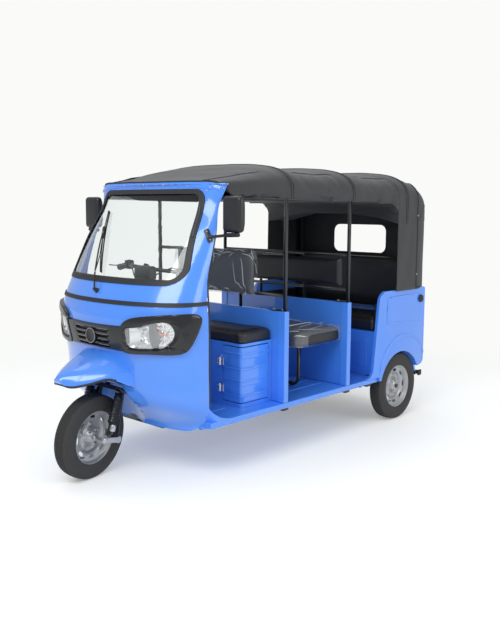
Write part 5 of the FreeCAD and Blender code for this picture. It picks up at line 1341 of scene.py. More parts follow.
def lamp_parts(side):
    """All pieces of one lamp; side is 1 for the left and -1 for the right."""
    turned = np.array([side, 1, 1.0])
    tag = "left" if side > 0 else "right"
    inner = lens_outer + np.array([0, 0.0025, 0])
    lens = thick_sheet("lens_" + tag, lens_outer * turned, inner * turned, True)
    place(lens, material=LENS, slot="lamp_lens", angle=30)
    seal_path = np.stack([rim[:, 0], rim_depth - 0.001, rim[:, 1]], -1) * turned
    place(sweep("lens_seal_" + tag, seal_path, 0.0035, 8, True), material=RUBBER,
          slot="seal_rubber")
    for name, centre, cut, deep, flutes in (("main", np.array([0.352, 0.888]),
                                             (-9.0, divide - 0.014), 0.050, 26),
                                            ("signal", np.array([0.485, 0.900]),
                                             (divide + 0.014, 9.0), 0.030, 18)):
        place_rim = clipped(rim, middle, *cut)
        spoke = place_rim - centre
        order = np.argsort(np.arctan2(spoke[:, 1], spoke[:, 0]))
        front = bowl(place_rim[order] * 1.0, centre, deep, flutes)
        back = front + np.array([0, 0.0025, 0])
        dish = thick_sheet("bowl_%s_%s" % (name, tag), front * turned, back * turned, True)
        place(dish, material=CHROME, slot="silver_steel", angle=20)
        ring = front[-1]
        core = ring.mean(0)
        place(lathe("bulb_seat_%s_%s" % (name, tag),
                    [(0.0, 0.0005), (0.0, 0.015), (0.006, 0.016), (0.008, 0.011), (0.008, 0.0005)],
                    (core + [0, 0.003, 0]) * turned, (0, -1, 0), 24), material=CHROME,
              slot="silver_steel")
        glass_bulb = [(0.008, 0.0085), (0.022, 0.0085), (0.028, 0.007), (0.032, 0.004),
                      (0.033, 0.0004)]
        place(lathe("bulb_%s_%s" % (name, tag), [(0.008, 0.0004)] + glass_bulb,
                    (core + [0, 0.003, 0]) * turned, (0, -1, 0), 20),
              material=AMBER if name == "signal" else MIRROR)
    # smoked divider, a shallow channel between the two bowls, with a raised lip on each side
    z = np.linspace(rim[:, 1].min() + 0.010, rim[:, 1].max() - 0.012, 30)
    x = np.array([-0.016, -0.012, -0.011, 0.011, 0.012, 0.016]) + divide
    sunk = np.array([0.014, 0.006, 0.010, 0.010, 0.006, 0.014])
    across, up = np.meshgrid(x, z)
    front = np.stack([across, lens_depth(across, up) + sunk[None], up], -1)
    place(thick_sheet("divider_" + tag, front * turned, (front + [0, 0.004, 0]) * turned),
          material=SMOKE_AND_PAINTED_SHADE, slot="black_plastic")
    # red repeater bulb and a dark heat slot in the main bowl
    for name, spot, size, finish in (("repeater", (0.468, 0.928), 0.010, RED_LENS),
                                     ("marker", (0.507, 0.905), 0.008, AMBER),
                                     ("slot", (0.372, 0.862), 0.007, PLASTIC)):
        at = np.array([spot[0], lens_depth(*spot) + 0.010, spot[1]])
        shape, faces = dome(size, size * 0.9)
        place(scatter("%s_%s" % (name, tag), shape, faces, [at * turned], (0, -1, 0)),
              material=finish)


for side in (1, -1):
    lamp_parts(side)
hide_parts("headlamps")

# %% [markdown]
# ## Fascia
#
# Bezels wrap round the corners, so they are drawn by bearing and height about an upright axis.
# A bezel runs from its outline in to the lens: P = skin(bearing, z) + n * lift(share). The grille
# is a height field over the nose: a frame 17 mm proud round louvres 30 mm apart.

# %%
shell_skin = skin("cab_front_shell")
AXIS_Y = -0.80
PROUD = 0.021


def on_nose(bearing, z, lift=0.0):
    """Points on the cab's nose at a bearing from straight ahead and a height."""
    bearing, z = np.broadcast_arrays(np.asarray(bearing, float), np.asarray(z, float))
    out = np.stack([np.sin(bearing), -np.cos(bearing), np.zeros_like(bearing)], -1)
    start = np.array([0, AXIS_Y, 0]) + out * 1.2 + z[..., None] * np.array([0, 0, 1.0])
    points, normals = cast(shell_skin, start, -out)
    return points + normals * np.asarray(lift, float)[..., None], normals


def bearing_of(points):
    """Bearing and height of points about the nose's upright axis."""
    return np.stack([np.arctan2(points[..., 0], AXIS_Y - points[..., 1]), points[..., 2]], -1)


bezel_marks = np.array([(0.256, -1.226, 0.945), (0.311, -1.208, 0.984), (0.420, -1.161, 1.003),
                        (0.532, -1.075, 1.014), (0.580, -0.995, 1.016), (0.594, -0.950, 1.004),
                        (0.597, -0.937, 0.974), (0.596, -0.971, 0.896), (0.582, -1.005, 0.828),
                        (0.561, -1.035, 0.797), (0.516, -1.081, 0.788), (0.404, -1.150, 0.787),
                        (0.284, -1.189, 0.782), (0.243, -1.205, 0.800), (0.240, -1.220, 0.870)])
bezel_line = even(smooth(bearing_of(bezel_marks), 400, True), 400)
lens_line = bearing_of(np.stack([rim[:, 0], rim_depth, rim[:, 1]], -1))
heart = lens_line.mean(0)


def turn_of(points):
    """Direction of (bearing, height) points seen from the lamp's heart."""
    return np.arctan2(points[:, 1] - heart[1], (points[:, 0] - heart[0]) * 0.55)


outer_turn = turn_of(bezel_line)
order = np.argsort(outer_turn)
wanted = turn_of(lens_line)
around = np.argsort(wanted)
wide = np.stack([np.interp(wanted[around], outer_turn[order], bezel_line[order, k],
                           period=2 * math.pi) for k in range(2)], -1)
inner_line = lens_line[around]
shares = np.array([1.0, 0.995, 0.98, 0.955, 0.92, 0.80, 0.6, 0.4, 0.22, 0.10, 0.04, 0.0, -0.10])
lifts = np.array([-0.002, 0.009, 0.015, 0.019, 0.021, 0.0215, 0.0215, 0.0215, 0.0215, 0.020,
                  0.0165, 0.010, 0.0005])
lines = inner_line + shares[:, None, None] * (wide - inner_line)
SOLID_ROW = 7


def over_hole(lift):
    """Rows of the bezel at a lift.

    Past the lamp's hole they keep the radius of the last row that has solid behind it.
    """
    points = on_nose(lines[..., 0], lines[..., 1], np.broadcast_to(lift, lines.shape[:2]))[0]
    radius = np.hypot(points[..., 0], points[..., 1] - AXIS_Y)
    expected = radius[SOLID_ROW] + np.asarray(lift) - np.broadcast_to(lift,
                                                                      lines.shape[:2])[SOLID_ROW]
    lost = np.isnan(radius) | (np.abs(radius - expected) > 0.012)
    lost[:SOLID_ROW + 1] = False
    radius = np.where(lost, expected, radius)
    points[lost] = np.stack([np.sin(lines[..., 0]) * radius,
                             AXIS_Y - np.cos(lines[..., 0]) * radius, lines[..., 1]], -1)[lost]
    return points


bezel_face = over_hole(lifts[:, None])
bezel_root = over_hole(np.full((len(lifts), 1), -0.004))
for side in (1, -1):
    bezel = thick_sheet("bezel_" + TAG[side], bezel_face * [side, 1, 1], bezel_root * [side, 1, 1],
                        True)
    place(bezel, material=GLOSS, slot="black_plastic", angle=50)

collar_lines = heart + np.array([1.10, 1.04, 0.98, 0.93])[:, None, None] * (inner_line - heart)
collar = on_nose(collar_lines[..., 0], collar_lines[..., 1],
                 np.full(collar_lines.shape[:2], 0.0018))[0]
collar_root = on_nose(collar_lines[..., 0], collar_lines[..., 1],
                      np.full(collar_lines.shape[:2], -0.002))[0]
for side in (1, -1):
    place(thick_sheet("lens_collar_" + TAG[side], collar * [side, 1, 1],
                      collar_root * [side, 1, 1], True), material=RUBBER, slot="seal_rubber")

badge_z = 0.862
columns, rows = 181, 77
across = np.linspace(-0.262, 0.262, columns)[None]
share = np.linspace(0, 1, rows)[:, None]
low_edge = 0.792 - 0.006 * (across / 0.25) ** 2
high_edge = 0.934 + 0.003 * (across / 0.25) ** 2
height = low_edge + share * (high_edge - low_edge)
width = np.broadcast_to(across, height.shape)
step = ((height - 0.802) / 0.031) % 1.0
louvre = np.interp(step, [0, 0.10, 0.42, 0.50, 0.88, 0.98, 1],
                   [0.001, 0.001, 0.003, 0.0145, 0.016, 0.004, 0.001])
reach = np.abs(width) + 0.018 * np.abs(step - 0.55) ** 2 * 4
window = np.clip((0.158 - reach) / 0.004, 0, 1) * np.clip((height - 0.804) / 0.004, 0, 1) \
    * np.clip((0.921 - height) / 0.004, 0, 1)
border = np.clip(np.minimum(share, 1 - share) / 0.035, 0, 1) * 0.019 - 0.002
lift = border * (1 - window) + louvre * window
bearing = np.arctan2(width, AXIS_Y + 1.245 - 0.05 * (np.abs(width) / 0.25) ** 2)
grille_face = on_nose(bearing, height, lift)[0]
grille_root = on_nose(bearing, height, np.full(lift.shape, -0.004))[0]
grille = thick_sheet("grille_panel", grille_face, grille_root)
place(grille, material=GLOSS, slot="black_plastic", angle=35)
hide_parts("nose_fascia")
# Painted highlights: thin silver lines along the lip of each louvre of the black plastic grille.
for side in (1, -1):
    for number in range(4):
        level = 0.802 + 0.031 * (number + 0.52)
        x = np.linspace(0.056, 0.146, 24)
        bend = np.arctan2(x, AXIS_Y + 1.245 - 0.05 * (x / 0.25) ** 2) * side
        path = on_nose(bend, np.full(24, level), np.full(24, 0.0155))[0]
        place(sweep("louvre_highlight_%d_%s" % (number, TAG[side]), path, 0.0014, 6), material=ZINC,
              slot="black_plastic")
badge_at = on_nose(0.0, badge_z, 0.012)[0]
badge_profile = [(0.0, 0.0004), (0.008, 0.0004), (0.0085, 0.034), (0.0095, 0.037), (0.0115, 0.040),
                 (0.0115, 0.0445), (0.009, 0.047), (-0.010, 0.047), (-0.010, 0.0004)]
place(lathe("badge_dish", badge_profile[1:], badge_at, (0, -1, 0), 64), material=PLASTIC,
      slot="black_plastic")
ring = [(0.010, 0.041), (0.013, 0.0415), (0.013, 0.0440), (0.010, 0.0445)]
place(lathe("badge_ring", ring, badge_at, (0, -1, 0), 64, True), material=ZINC, slot="silver_steel")
for side in (1, -1):
    socket = np.array([0.590 * side, -1.041, 0.904])
    place_at = bearing_of(socket)
    spot, normal = on_nose(place_at[0], place_at[1], PROUD)
    cup = [(-0.006, 0.0005), (-0.002, 0.0005), (-0.002, 0.0105), (0.003, 0.0125), (0.0045, 0.0145),
           (0.003, 0.0170), (-0.006, 0.0175)]
    place(lathe("socket_%s" % TAG[side], cup, spot, normal, 32), material=RUBBER,
          slot="seal_rubber")
    knob, knob_faces = dome(0.0065, 0.006)
    place(scatter("socket_knob_%s" % TAG[side], knob, knob_faces, [spot - normal * 0.002],
                  [normal]), material=PLASTIC, slot="black_plastic")


# %% [markdown]
# ## Mudguard
#
# A rubber bead runs round the guard's hem: the hem's height at each bearing is the lowest that a
# level ray still meets. Two pressed creases run down each side.

# %%
guard_skin = skin("front_mudguard")
guard_low, guard_high = span("front_mudguard")
bearing = np.radians(np.linspace(-86, 86, 121))
hub_y = guard_high[1] - 0.045
out = np.stack([np.sin(bearing), -np.cos(bearing), np.zeros_like(bearing)], -1)
levels = np.arange(guard_low[2] + 0.0005, guard_low[2] + 0.09, 0.0015)
start = np.array([0, hub_y, 0]) + out[:, None] * 0.8 + levels[None, :, None] * np.array([0, 0, 1.0])
hit, _ = cast(guard_skin, start, -out[:, None])
found = ~np.isnan(hit[..., 0])
first = found.argmax(1)
hem_path = hit[np.arange(len(bearing)), first]
hem_path = hem_path[found.any(1)]
weights = np.array([1, 2, 3, 2, 1.0]) / 9
for axis in range(3):
    hem_path[2:-2, axis] = np.convolve(hem_path[:, axis], weights, "valid")
bead = sweep("guard_bead", even(hem_path, 160) + [0, 0, 0.002], 0.0065, 10)
place(bead, material=RUBBER, slot="seal_rubber")
for side in (1, -1):
    for number, line in enumerate((((0.124, -1.262, 0.73), (0.119, -1.320, 0.701),
                                    (0.114, -1.368, 0.673), (0.100, -1.425, 0.636)),
                                   ((0.250, -1.185, 0.66), (0.228, -1.240, 0.658),
                                    (0.206, -1.295, 0.646), (0.172, -1.350, 0.628)))):
        points = smooth(np.array(line) * [side, 1, 1], 40)
        middle_axis = np.array([0, hub_y, 0.60])
        rays = points - middle_axis
        rays /= np.linalg.norm(rays, axis=1, keepdims=True)
        spots, normals = cast(guard_skin, middle_axis + rays * 0.8, -rays)
        good = ~np.isnan(spots[:, 0])
        crease = strip("guard_crease_%d_%s" % (number, TAG[side]),
                       spots[good] - normals[good] * 0.0008, normals[good], 0.011, 0.0042)
        place(crease, material=BLUE, slot="blue_paint", angle=80)

# %% [markdown]
# ## Screen, wiper and header
#
# The wiper stands on the glass: each piece is laid on the skin of the screen and lifted. A dark
# band of painted shade lies over the top edge of the glass, and a row of rivets holds the drip
# rail.

# %%
shell_skin = skin("cab_front_shell")
glass_skin = skin("windshield_glass")
screen_skin = tree_of(frame["nodes"]["windshield_gasket"].data)


def on_glass(line, lift, count=0):
    """A line of (x, z) points laid on the glass and lifted off it."""
    line = np.asarray(line, float)
    if count:
        line = smooth(np.c_[line, np.zeros(len(line))], count)[:, :2]
    points, normals = from_front(glass_skin, line[:, 0], line[:, 1])
    good = ~np.isnan(points[:, 0])
    if not good.all():
        known = np.flatnonzero(good)
        for axis in range(3):
            points[:, axis] = np.interp(np.arange(len(line)), known, points[known, axis])
            normals[:, axis] = np.interp(np.arange(len(line)), known, normals[known, axis])
        points[~good, 0], points[~good, 2] = line[~good, 0], line[~good, 1]
    normals /= np.linalg.norm(normals, axis=1, keepdims=True)
    return points + normals * np.asarray(lift, float).reshape(-1, 1), normals


blade_line = [(-0.313, 1.576), (-0.245, 1.470), (-0.175, 1.370), (-0.115, 1.290), (-0.052, 1.215)]
rubber_path, rubber_up = on_glass(blade_line, 0.006, 60)
blade = strip("wiper_rubber", rubber_path, rubber_up, 0.004, 0.010)
place(blade, material=RUBBER, slot="seal_rubber")
spine_path, spine_up = on_glass(blade_line, 0.015 + 0.004 * np.sin(np.linspace(0, math.pi, 60)), 60)
place(strip("wiper_spine", spine_path, spine_up, 0.008, 0.005), material=PLASTIC,
      slot="black_plastic")
pivot, pivot_way = laid(shell_skin, [(-0.012, -1.25, 1.118)], (0, 1, 0), 0.0, 0.1)
pivot_way = pivot_way[0] / np.linalg.norm(pivot_way[0])
place(lathe("wiper_spindle", [(0.0, 0.0005), (0.0, 0.017), (0.006, 0.016), (0.010, 0.012),
                              (0.026, 0.011), (0.032, 0.008), (0.034, 0.0005)],
            pivot[0] - pivot_way * 0.002, pivot_way, 28), material=PLASTIC, slot="black_plastic")
holder, holder_up = on_glass([(-0.222, 1.437)], 0.026)
arm_start = pivot[0] + pivot_way * 0.024
arm_path = np.array([arm_start, arm_start + (holder[0] - arm_start) * 0.25 + [0, -0.012, 0.006],
                     arm_start + (holder[0] - arm_start) * 0.7 + [0, -0.010, 0.006], holder[0]])
arm_path = smooth(arm_path, 40)
place(strip("wiper_arm", arm_path, holder_up[0], 0.011, 0.006), material=PLASTIC,
      slot="black_plastic")
lower, _ = on_glass([(-0.125, 1.305)], 0.021)
second = smooth(np.array([arm_path[14], lower[0] + [-0.004, -0.004, 0.0],
                          lower[0] * 0.5 + holder[0] * 0.5 + [0.006, -0.006, 0],
                          holder[0] + [0.010, 0, -0.012]]), 40)
place(sweep("wiper_link", second, 0.0032, 8), material=BLACK_PAINT, slot="black_paint")
clip_path, clip_up = on_glass([(-0.245, 1.470), (-0.222, 1.437), (-0.200, 1.405)], 0.022, 12)
place(strip("wiper_clip", clip_path, clip_up, 0.020, 0.014), material=PLASTIC, slot="black_plastic")
knee, knee_faces = dome(0.007, 0.005)
place(scatter("wiper_knees", knee, knee_faces, [arm_path[14], second[13], holder[0]],
              (0, -0.83, 0.55)), material=ZINC, slot="silver_steel")
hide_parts("wiper")

# Painted shade: a dark sheet over the top of the screen, deepest on the left (+X) and running out
# towards the right.
band_x = np.linspace(-0.43, 0.43, 70)
band_low = 1.647 + 0.046 * np.clip((-band_x - 0.05) / 0.2, 0, 1) ** 1.6 - 0.008 * (band_x / 0.43)
band_rows = np.linspace(0, 1, 14)[:, None]
band_z = band_low[None] * (1 - band_rows) + 1.696 * band_rows
band_z = np.maximum(band_z, band_low[None])
band, band_normal = on_glass(np.stack([np.broadcast_to(band_x, band_z.shape), band_z],
                                      -1).reshape(-1, 2), 0.0016)
band = band.reshape(14, 70, 3)
band_normal = band_normal.reshape(14, 70, 3)
place(thick_sheet("painted_shade_band", band, band - band_normal * 0.0008), material=SMOKE_AND_PAINTED_SHADE)

rivet, rivet_faces = dome(0.0058, 0.0045)
header_line = np.array([(-0.255, -0.797, 1.7435), (-0.057, -0.804, 1.7435),
                        (0.132, -0.805, 1.7405), (0.329, -0.787, 1.734), (0.491, -0.763, 1.725),
                        (0.536, -0.746, 1.722), (0.565, -0.726, 1.718), (0.476, -0.773, 1.706),
                        (-0.440, -0.775, 1.732), (-0.555, -0.735, 1.722), (-0.480, -0.770, 1.706)])
spots, normals = [], []
for point in header_line:
    spot, normal = laid(shell_skin, [point], (0, 1, 0), 0.002, 0.2)
    spots.append(spot[0])
    normals.append(normal[0])
place(scatter("header_rivets", rivet, rivet_faces, np.array(spots), np.array(normals)),
      material=ZINC, slot="silver_steel")

header_row = roof[0][(roof[0][:, 2] > 1.715) & (np.abs(roof[0][:, 0]) < 0.585)]
face_z = np.interp(np.abs(header_row[:, 0]), [0, 0.35, 0.5, 0.6], [1.738, 1.728, 1.712, 1.700])
face = from_front(shell_skin, header_row[:, 0], face_z)[0]
known = ~np.isnan(face[:, 1])
for axis in (1, 2):
    face[:, axis] = np.interp(np.arange(len(face)), np.flatnonzero(known), face[known, axis])
face[:, 0] = header_row[:, 0]
rise = np.linspace(0, 1, 8)[:, None, None]
cap = (face - [0, 0.002, 0]) * (1 - rise) + (header_row + [0, -0.003, -0.002]) * rise
cap[..., 1] -= 0.004 * np.sin(np.pi * rise[..., 0])
place(thick_sheet("header_cap", cap, cap + [0, 0.006, 0.001]), material=BLUE, slot="blue_paint")
drip = roof[0][(roof[0][:, 2] > 1.70)] + [0, -0.004, 0.001]
place(sweep("drip_edge", even(drip, 120), 0.0042, 8), material=RUBBER, slot="seal_rubber")
bead_rim = []
for turn in np.linspace(0, 2 * math.pi, 140, endpoint=False):
    reach = np.linspace(0.15, 0.62, 400)
    x, z = np.cos(turn) * reach, 1.44 + np.sin(turn) * reach
    met = ~np.isnan(from_front(glass_skin, x, z)[0][:, 0])
    bead_rim.append(reach[met][-1])
bead_rim = np.convolve(np.r_[bead_rim[-4:], bead_rim, bead_rim[:4]], np.ones(9) / 9, "valid")
turn = np.linspace(0, 2 * math.pi, 140, endpoint=False)
edge_line = np.stack([np.cos(turn) * (bead_rim - 0.004), 1.44 + np.sin(turn) * (bead_rim - 0.004)],
                     -1)
gasket_path, gasket_up = from_front(screen_skin, edge_line[:, 0], edge_line[:, 1])
place(sweep("gasket_bead", gasket_path - gasket_up * 0.002, 0.0095, 14, True), material=GASKET,
      slot="seal_rubber")

# %% [markdown]
# ## Weatherstrips, hinges and mirrors
#
# A hollow black seal follows the cab's rear edge up to the roof. Its path steps x inwards with the
# shell: the shell's side is found with level rays.

# %%
strip_z = np.r_[np.linspace(0.47, 1.14, 40), np.linspace(1.16, 1.735, 34)]
strip_y = -0.8775 + np.clip(strip_z - 1.20, 0, None) * (0.172 / 0.558)
strip_y = np.convolve(np.pad(strip_y, 4, "edge"), np.ones(9) / 9, "valid")
for side, tag in TAG.items():
    start = np.stack([np.full_like(strip_z, side * 0.9), strip_y - 0.008, strip_z], -1)
    spots, _ = laid(shell_skin, start, (-side, 0, 0), 0.0, 0.0)
    path = np.stack([spots[:, 0] - side * 0.0035, strip_y + 0.005, strip_z], -1)
    place(sweep("door_seal_" + tag, path, 0.0075, 10), material=RUBBER, slot="seal_rubber")
    for number, z in enumerate((1.087, 1.030)):
        spot, normal = laid(shell_skin, [(side * 0.9, -0.889, z)], (-side, 0, 0), 0.0, 0.0)
        place(sweep("hinge_barrel_%d_%s" % (number, tag),
                    [spot[0] + [side * 0.002, 0.004, -0.011], spot[0] + [side * 0.002, 0.004, 0],
                     spot[0] + [side * 0.002, 0.004, 0.011]], 0.0036, 14), material=CHROME,
              slot="silver_steel")


def rounded_box(name, centre, size, radius, segments=6):
    """A box with every edge rounded to one radius."""
    work = bmesh.new()
    bmesh.ops.create_cube(work, size=1.0)
    for vertex in work.verts:
        vertex.co = [c + s * v for c, s, v in zip(centre, size, vertex.co)]
    bmesh.ops.bevel(work, geom=list(work.edges), offset=radius, segments=segments, profile=0.5,
                    affect="EDGES")
    mesh = bpy.data.meshes.new(name)
    work.to_mesh(mesh)
    work.free()
    piece = bpy.data.objects.new(name, mesh)
    bpy.context.scene.collection.objects.link(piece)
    return piece


for side, tag in TAG.items():
    head = rounded_box("mirror_head_" + tag, (side * 0.661, -0.742, 1.571), (0.146, 0.052, 0.208),
                       0.0245, 8)
    place(head, material=PLASTIC, slot="black_plastic", angle=60)
    turn = np.linspace(0, 2 * math.pi, 64, endpoint=False)
    edge = np.stack([np.sign(np.cos(turn)) * np.abs(np.cos(turn)) ** 0.4 * 0.058,
                     np.sign(np.sin(turn)) * np.abs(np.sin(turn)) ** 0.4 * 0.089], -1)
    share = np.linspace(1, 0.03, 9)[:, None]
    glass = np.stack([side * 0.661 + share * edge[:, 0],
                      -0.7145 - 0.002 * share ** 2 + 0 * edge[:, 0], 1.571 + share * edge[:, 1]],
                     -1)
    place(thick_sheet("mirror_glass_" + tag, glass, glass + [0, -0.003, 0], True), material=MIRROR,
          slot="silver_steel")
    rim_path = np.stack([side * 0.661 + edge[:, 0] * 1.03, np.full(64, -0.7155),
                         1.571 + edge[:, 1] * 1.02], -1)
    place(sweep("mirror_rim_" + tag, rim_path, 0.003, 8, True), material=PLASTIC,
          slot="black_plastic")
    arm = smooth([(side * 0.602, -0.752, 1.452), (side * 0.650, -0.748, 1.453),
                  (side * 0.705, -0.745, 1.456)], 20)
    place(sweep("mirror_arm_" + tag, arm, 0.0125, 16), material=PLASTIC, slot="black_plastic")
    link = smooth([(side * 0.556, -0.842, 1.444), (side * 0.575, -0.825, 1.444),
                   (side * 0.598, -0.785, 1.447), (side * 0.612, -0.752, 1.452)], 24)
    place(sweep("mirror_link_" + tag, link, 0.0085, 14), material=PLASTIC, slot="black_plastic")
    neck = smooth([(side * 0.667, -0.746, 1.455), (side * 0.667, -0.744, 1.468),
                   (side * 0.667, -0.742, 1.480)], 8)
    place(sweep("mirror_neck_" + tag, neck, 0.014, 16), material=RUBBER, slot="black_plastic")
    foot, _ = laid(shell_skin, [(side * 0.554, -0.838, 1.447)], (-side * 0.8, 0.6, 0), 0.0, 0.2)
    pads = foot[0] + np.linspace(-1, 1, 20)[:, None] * np.array([side * 0.010, 0.006, -0.034])
    pads, pad_up = laid(shell_skin, pads, (-side * 0.8, 0.6, 0), 0.003, 0.2)
    place(strip("mirror_foot_" + tag, pads, pad_up, 0.032, 0.014), material=PLASTIC,
          slot="black_plastic")
    place(scatter("mirror_foot_screws_" + tag, *dome(0.004, 0.003),
                  pads[[3, -4]] + pad_up[[3, -4]] * 0.007, pad_up[[3, -4]]), material=ZINC,
          slot="silver_steel")
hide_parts("mirrors")


# %% [markdown]
# ## Driver's place
#
# Grips are turned with rings, levers and hoses are free curves, and the switch pods are rounded
# boxes on the bar. The dials are shallow dishes with raised rims and no figures.

# %%
bar_low, bar_high = span("handlebar")
spots = np.empty(len(frame["nodes"]["handlebar"].data.vertices) * 3)
frame["nodes"]["handlebar"].data.vertices.foreach_get("co", spots)
spots = spots.reshape(-1, 3)
for side, tag in TAG.items():
    tip_x = bar_high[0] if side > 0 else bar_low[0]
    end = spots[np.abs(spots[:, 0] - tip_x) < 0.012].mean(0)
    near = spots[np.abs(spots[:, 0] - (tip_x - side * 0.13)) < 0.02].mean(0)
    aim = (end - near) / np.linalg.norm(end - near)
    along = np.linspace(0, 0.118, 48)
    rings = 0.0175 + 0.0016 * (np.sin(along * 2 * math.pi / 0.006) > 0)
    profile = [(0.0, 0.0005), (0.0, 0.0225), (0.004, 0.0225)] + list(zip(along + 0.005, rings)) \
        + [(0.126, 0.021), (0.130, 0.017), (0.131, 0.0005)]
    place(lathe("grip_" + tag, profile, end - aim * 0.122, aim, 28), "steering", RUBBER,
          "seal_rubber")
    pod_at = end - aim * 0.150
    pod = rounded_box("switch_pod_" + tag, pod_at, (0.052, 0.046, 0.058), 0.012, 5)
    place(pod, "steering", PLASTIC, "black_plastic", angle=60)
    knob, knob_faces = dome(0.007, 0.006)
    place(scatter("switch_knobs_" + tag, knob, knob_faces,
                  [pod_at + [-0.012, 0.023, 0.010], pod_at + [0.012, 0.023, -0.008]], (0, 1, 0)),
          "steering", RED_LENS, "red_lens")
    lever = smooth([pod_at + [side * 0.005, -0.022, 0.0], pod_at + [side * 0.030, -0.055, -0.004],
                    pod_at + [side * 0.075, -0.070, -0.006],
                    pod_at + [side * 0.130, -0.058, -0.006]], 30)
    place(strip("lever_" + tag, lever, (0, 0, 1), 0.012, 0.007), "steering", ALLOY, "cast_alloy")
    hose = smooth([pod_at + [0, -0.020, 0.010], pod_at + [-side * 0.05, -0.034, 0.026],
                   (side * 0.055, -0.878, 1.168), (side * 0.020, -0.866, 1.150)], 40)
    place(sweep("hose_" + tag, hose, 0.0042, 8), "steering", RUBBER, "seal_rubber")
cluster = rounded_box("switch_cluster", (0.035, -0.872, 1.205), (0.150, 0.070, 0.088), 0.020, 5)
place(cluster, "steering", PLASTIC, "black_plastic", angle=60)
pod_low, pod_high = span("instrument_pod")
for number, x in enumerate((-0.058, 0.058)):
    face = np.array([x, pod_high[1] - 0.004, (pod_low[2] + pod_high[2]) / 2 + 0.012])
    dish = [(-0.003, 0.0005), (-0.001, 0.0005), (-0.001, 0.030), (0.003, 0.0325), (0.004, 0.036),
            (0.001, 0.038), (-0.003, 0.038)]
    place(lathe("dial_rim_%d" % number, dish, face, (0, 1, 0), 40), material=CHROME,
          slot="silver_steel")
    cover = [(0.0, 0.0005), (0.0012, 0.0005), (0.0010, 0.031), (0.0, 0.031)]
    place(lathe("dial_glass_%d" % number, cover, face + [0, 0.0015, 0], (0, 1, 0), 40),
          material=LENS, slot="lamp_lens")

# %% [markdown]
# ## Seat box and floors
#
# The seat box's door has raised ribs that go round its corner, and two chrome butt hinges with
# four rivets each. The floors carry pressed ribs along the vehicle.

# %%
door_skin = skin("seat_box_door")
door_low = span("seat_box_door")[0]
for number, z in enumerate((0.440, 0.535, 0.610, 0.705)):
    front = np.stack([np.linspace(0.352, 0.478, 22), np.full(22, -0.62), np.full(22, z)], -1)
    side_line = np.stack([np.full(34, 0.62), np.linspace(-0.478, -0.275, 34), np.full(34, z)], -1)
    front_path, _ = laid(door_skin, front, (0, 1, 0), 0.0008, 0.0)
    side_path, _ = laid(door_skin, side_line, (-1, 0, 0), 0.0008, 0.0)
    diagonal = np.array([[0.58, -0.58, z]])
    corner, _ = laid(door_skin, diagonal, (-0.707, 0.707, 0), 0.0008, 0.0)
    path = even(smooth(np.concatenate([front_path[::3], corner, side_path[1::3]]), 90), 90)
    up = np.gradient(path, axis=0)
    up = np.cross([0, 0, 1.0], up)
    up /= np.linalg.norm(up, axis=1, keepdims=True)
    up *= np.sign((up * (path - [0.40, -0.38, 0])).sum(1, keepdims=True))
    place(strip("door_rib_%d" % number, path, up, 0.014, 0.0055), "box_door", BLUE, "blue_paint",
          angle=80)
for number, z in enumerate((0.647, 0.478)):
    at = np.array([door_low[0] + 0.002, door_low[1] - 0.004, z])
    barrel = [at + [0, 0, -0.026], at, at + [0, 0, 0.026]]
    place(sweep("box_hinge_pin_%d" % number, barrel, 0.0055, 16), "box_door", CHROME,
          "silver_steel")
    for side in (1, -1):
        leaf_at = at + [side * 0.0165, 0.003, 0]
        leaf = [leaf_at + [0, 0, -0.024], leaf_at, leaf_at + [0, 0, 0.024]]
        body = "box_door" if side > 0 else "root"
        place(strip("box_hinge_leaf_%d_%s" % (number, TAG[side]), leaf, (0, -1, 0), 0.024, 0.003),
              body, CHROME, "silver_steel")
        heads = [leaf_at + [0.0, -0.0015, lift] for lift in (-0.014, 0.014)]
        place(scatter("box_hinge_rivets_%d_%s" % (number, TAG[side]), *dome(0.0036, 0.0028), heads,
                      (0, -1, 0)), body, ZINC, "silver_steel")
floor_skin = skin("floor_pan")
for bay, (first, last) in {"front": (-0.800, -0.560), "middle": (-0.190, 0.420),
                           "rear": (0.540, 0.820)}.items():
    for number, x in enumerate(np.linspace(-0.42, 0.42, 8)):
        line = np.stack([np.full(20, x), np.linspace(first, last, 20), np.full(20, 0.60)], -1)
        spots, normals = cast(floor_skin, line, (0, 0, -1))
        if np.isnan(spots).any():
            continue
        rib = strip("floor_rib_%s_%d" % (bay, number), spots + [0, 0, 0.0006], (0, 0, 1), 0.016,
                    0.004)
        place(rib, material=BLUE, slot="blue_paint", angle=80)

# %% [markdown]
# ## Pillar feet and the sill's heel
#
# Each hoop stands on a flanged foot with two bolts. Where the cab's rear edge comes down to the
# sill, a faired heel closes the corner: its top edge falls in a hollow curve from the door edge.

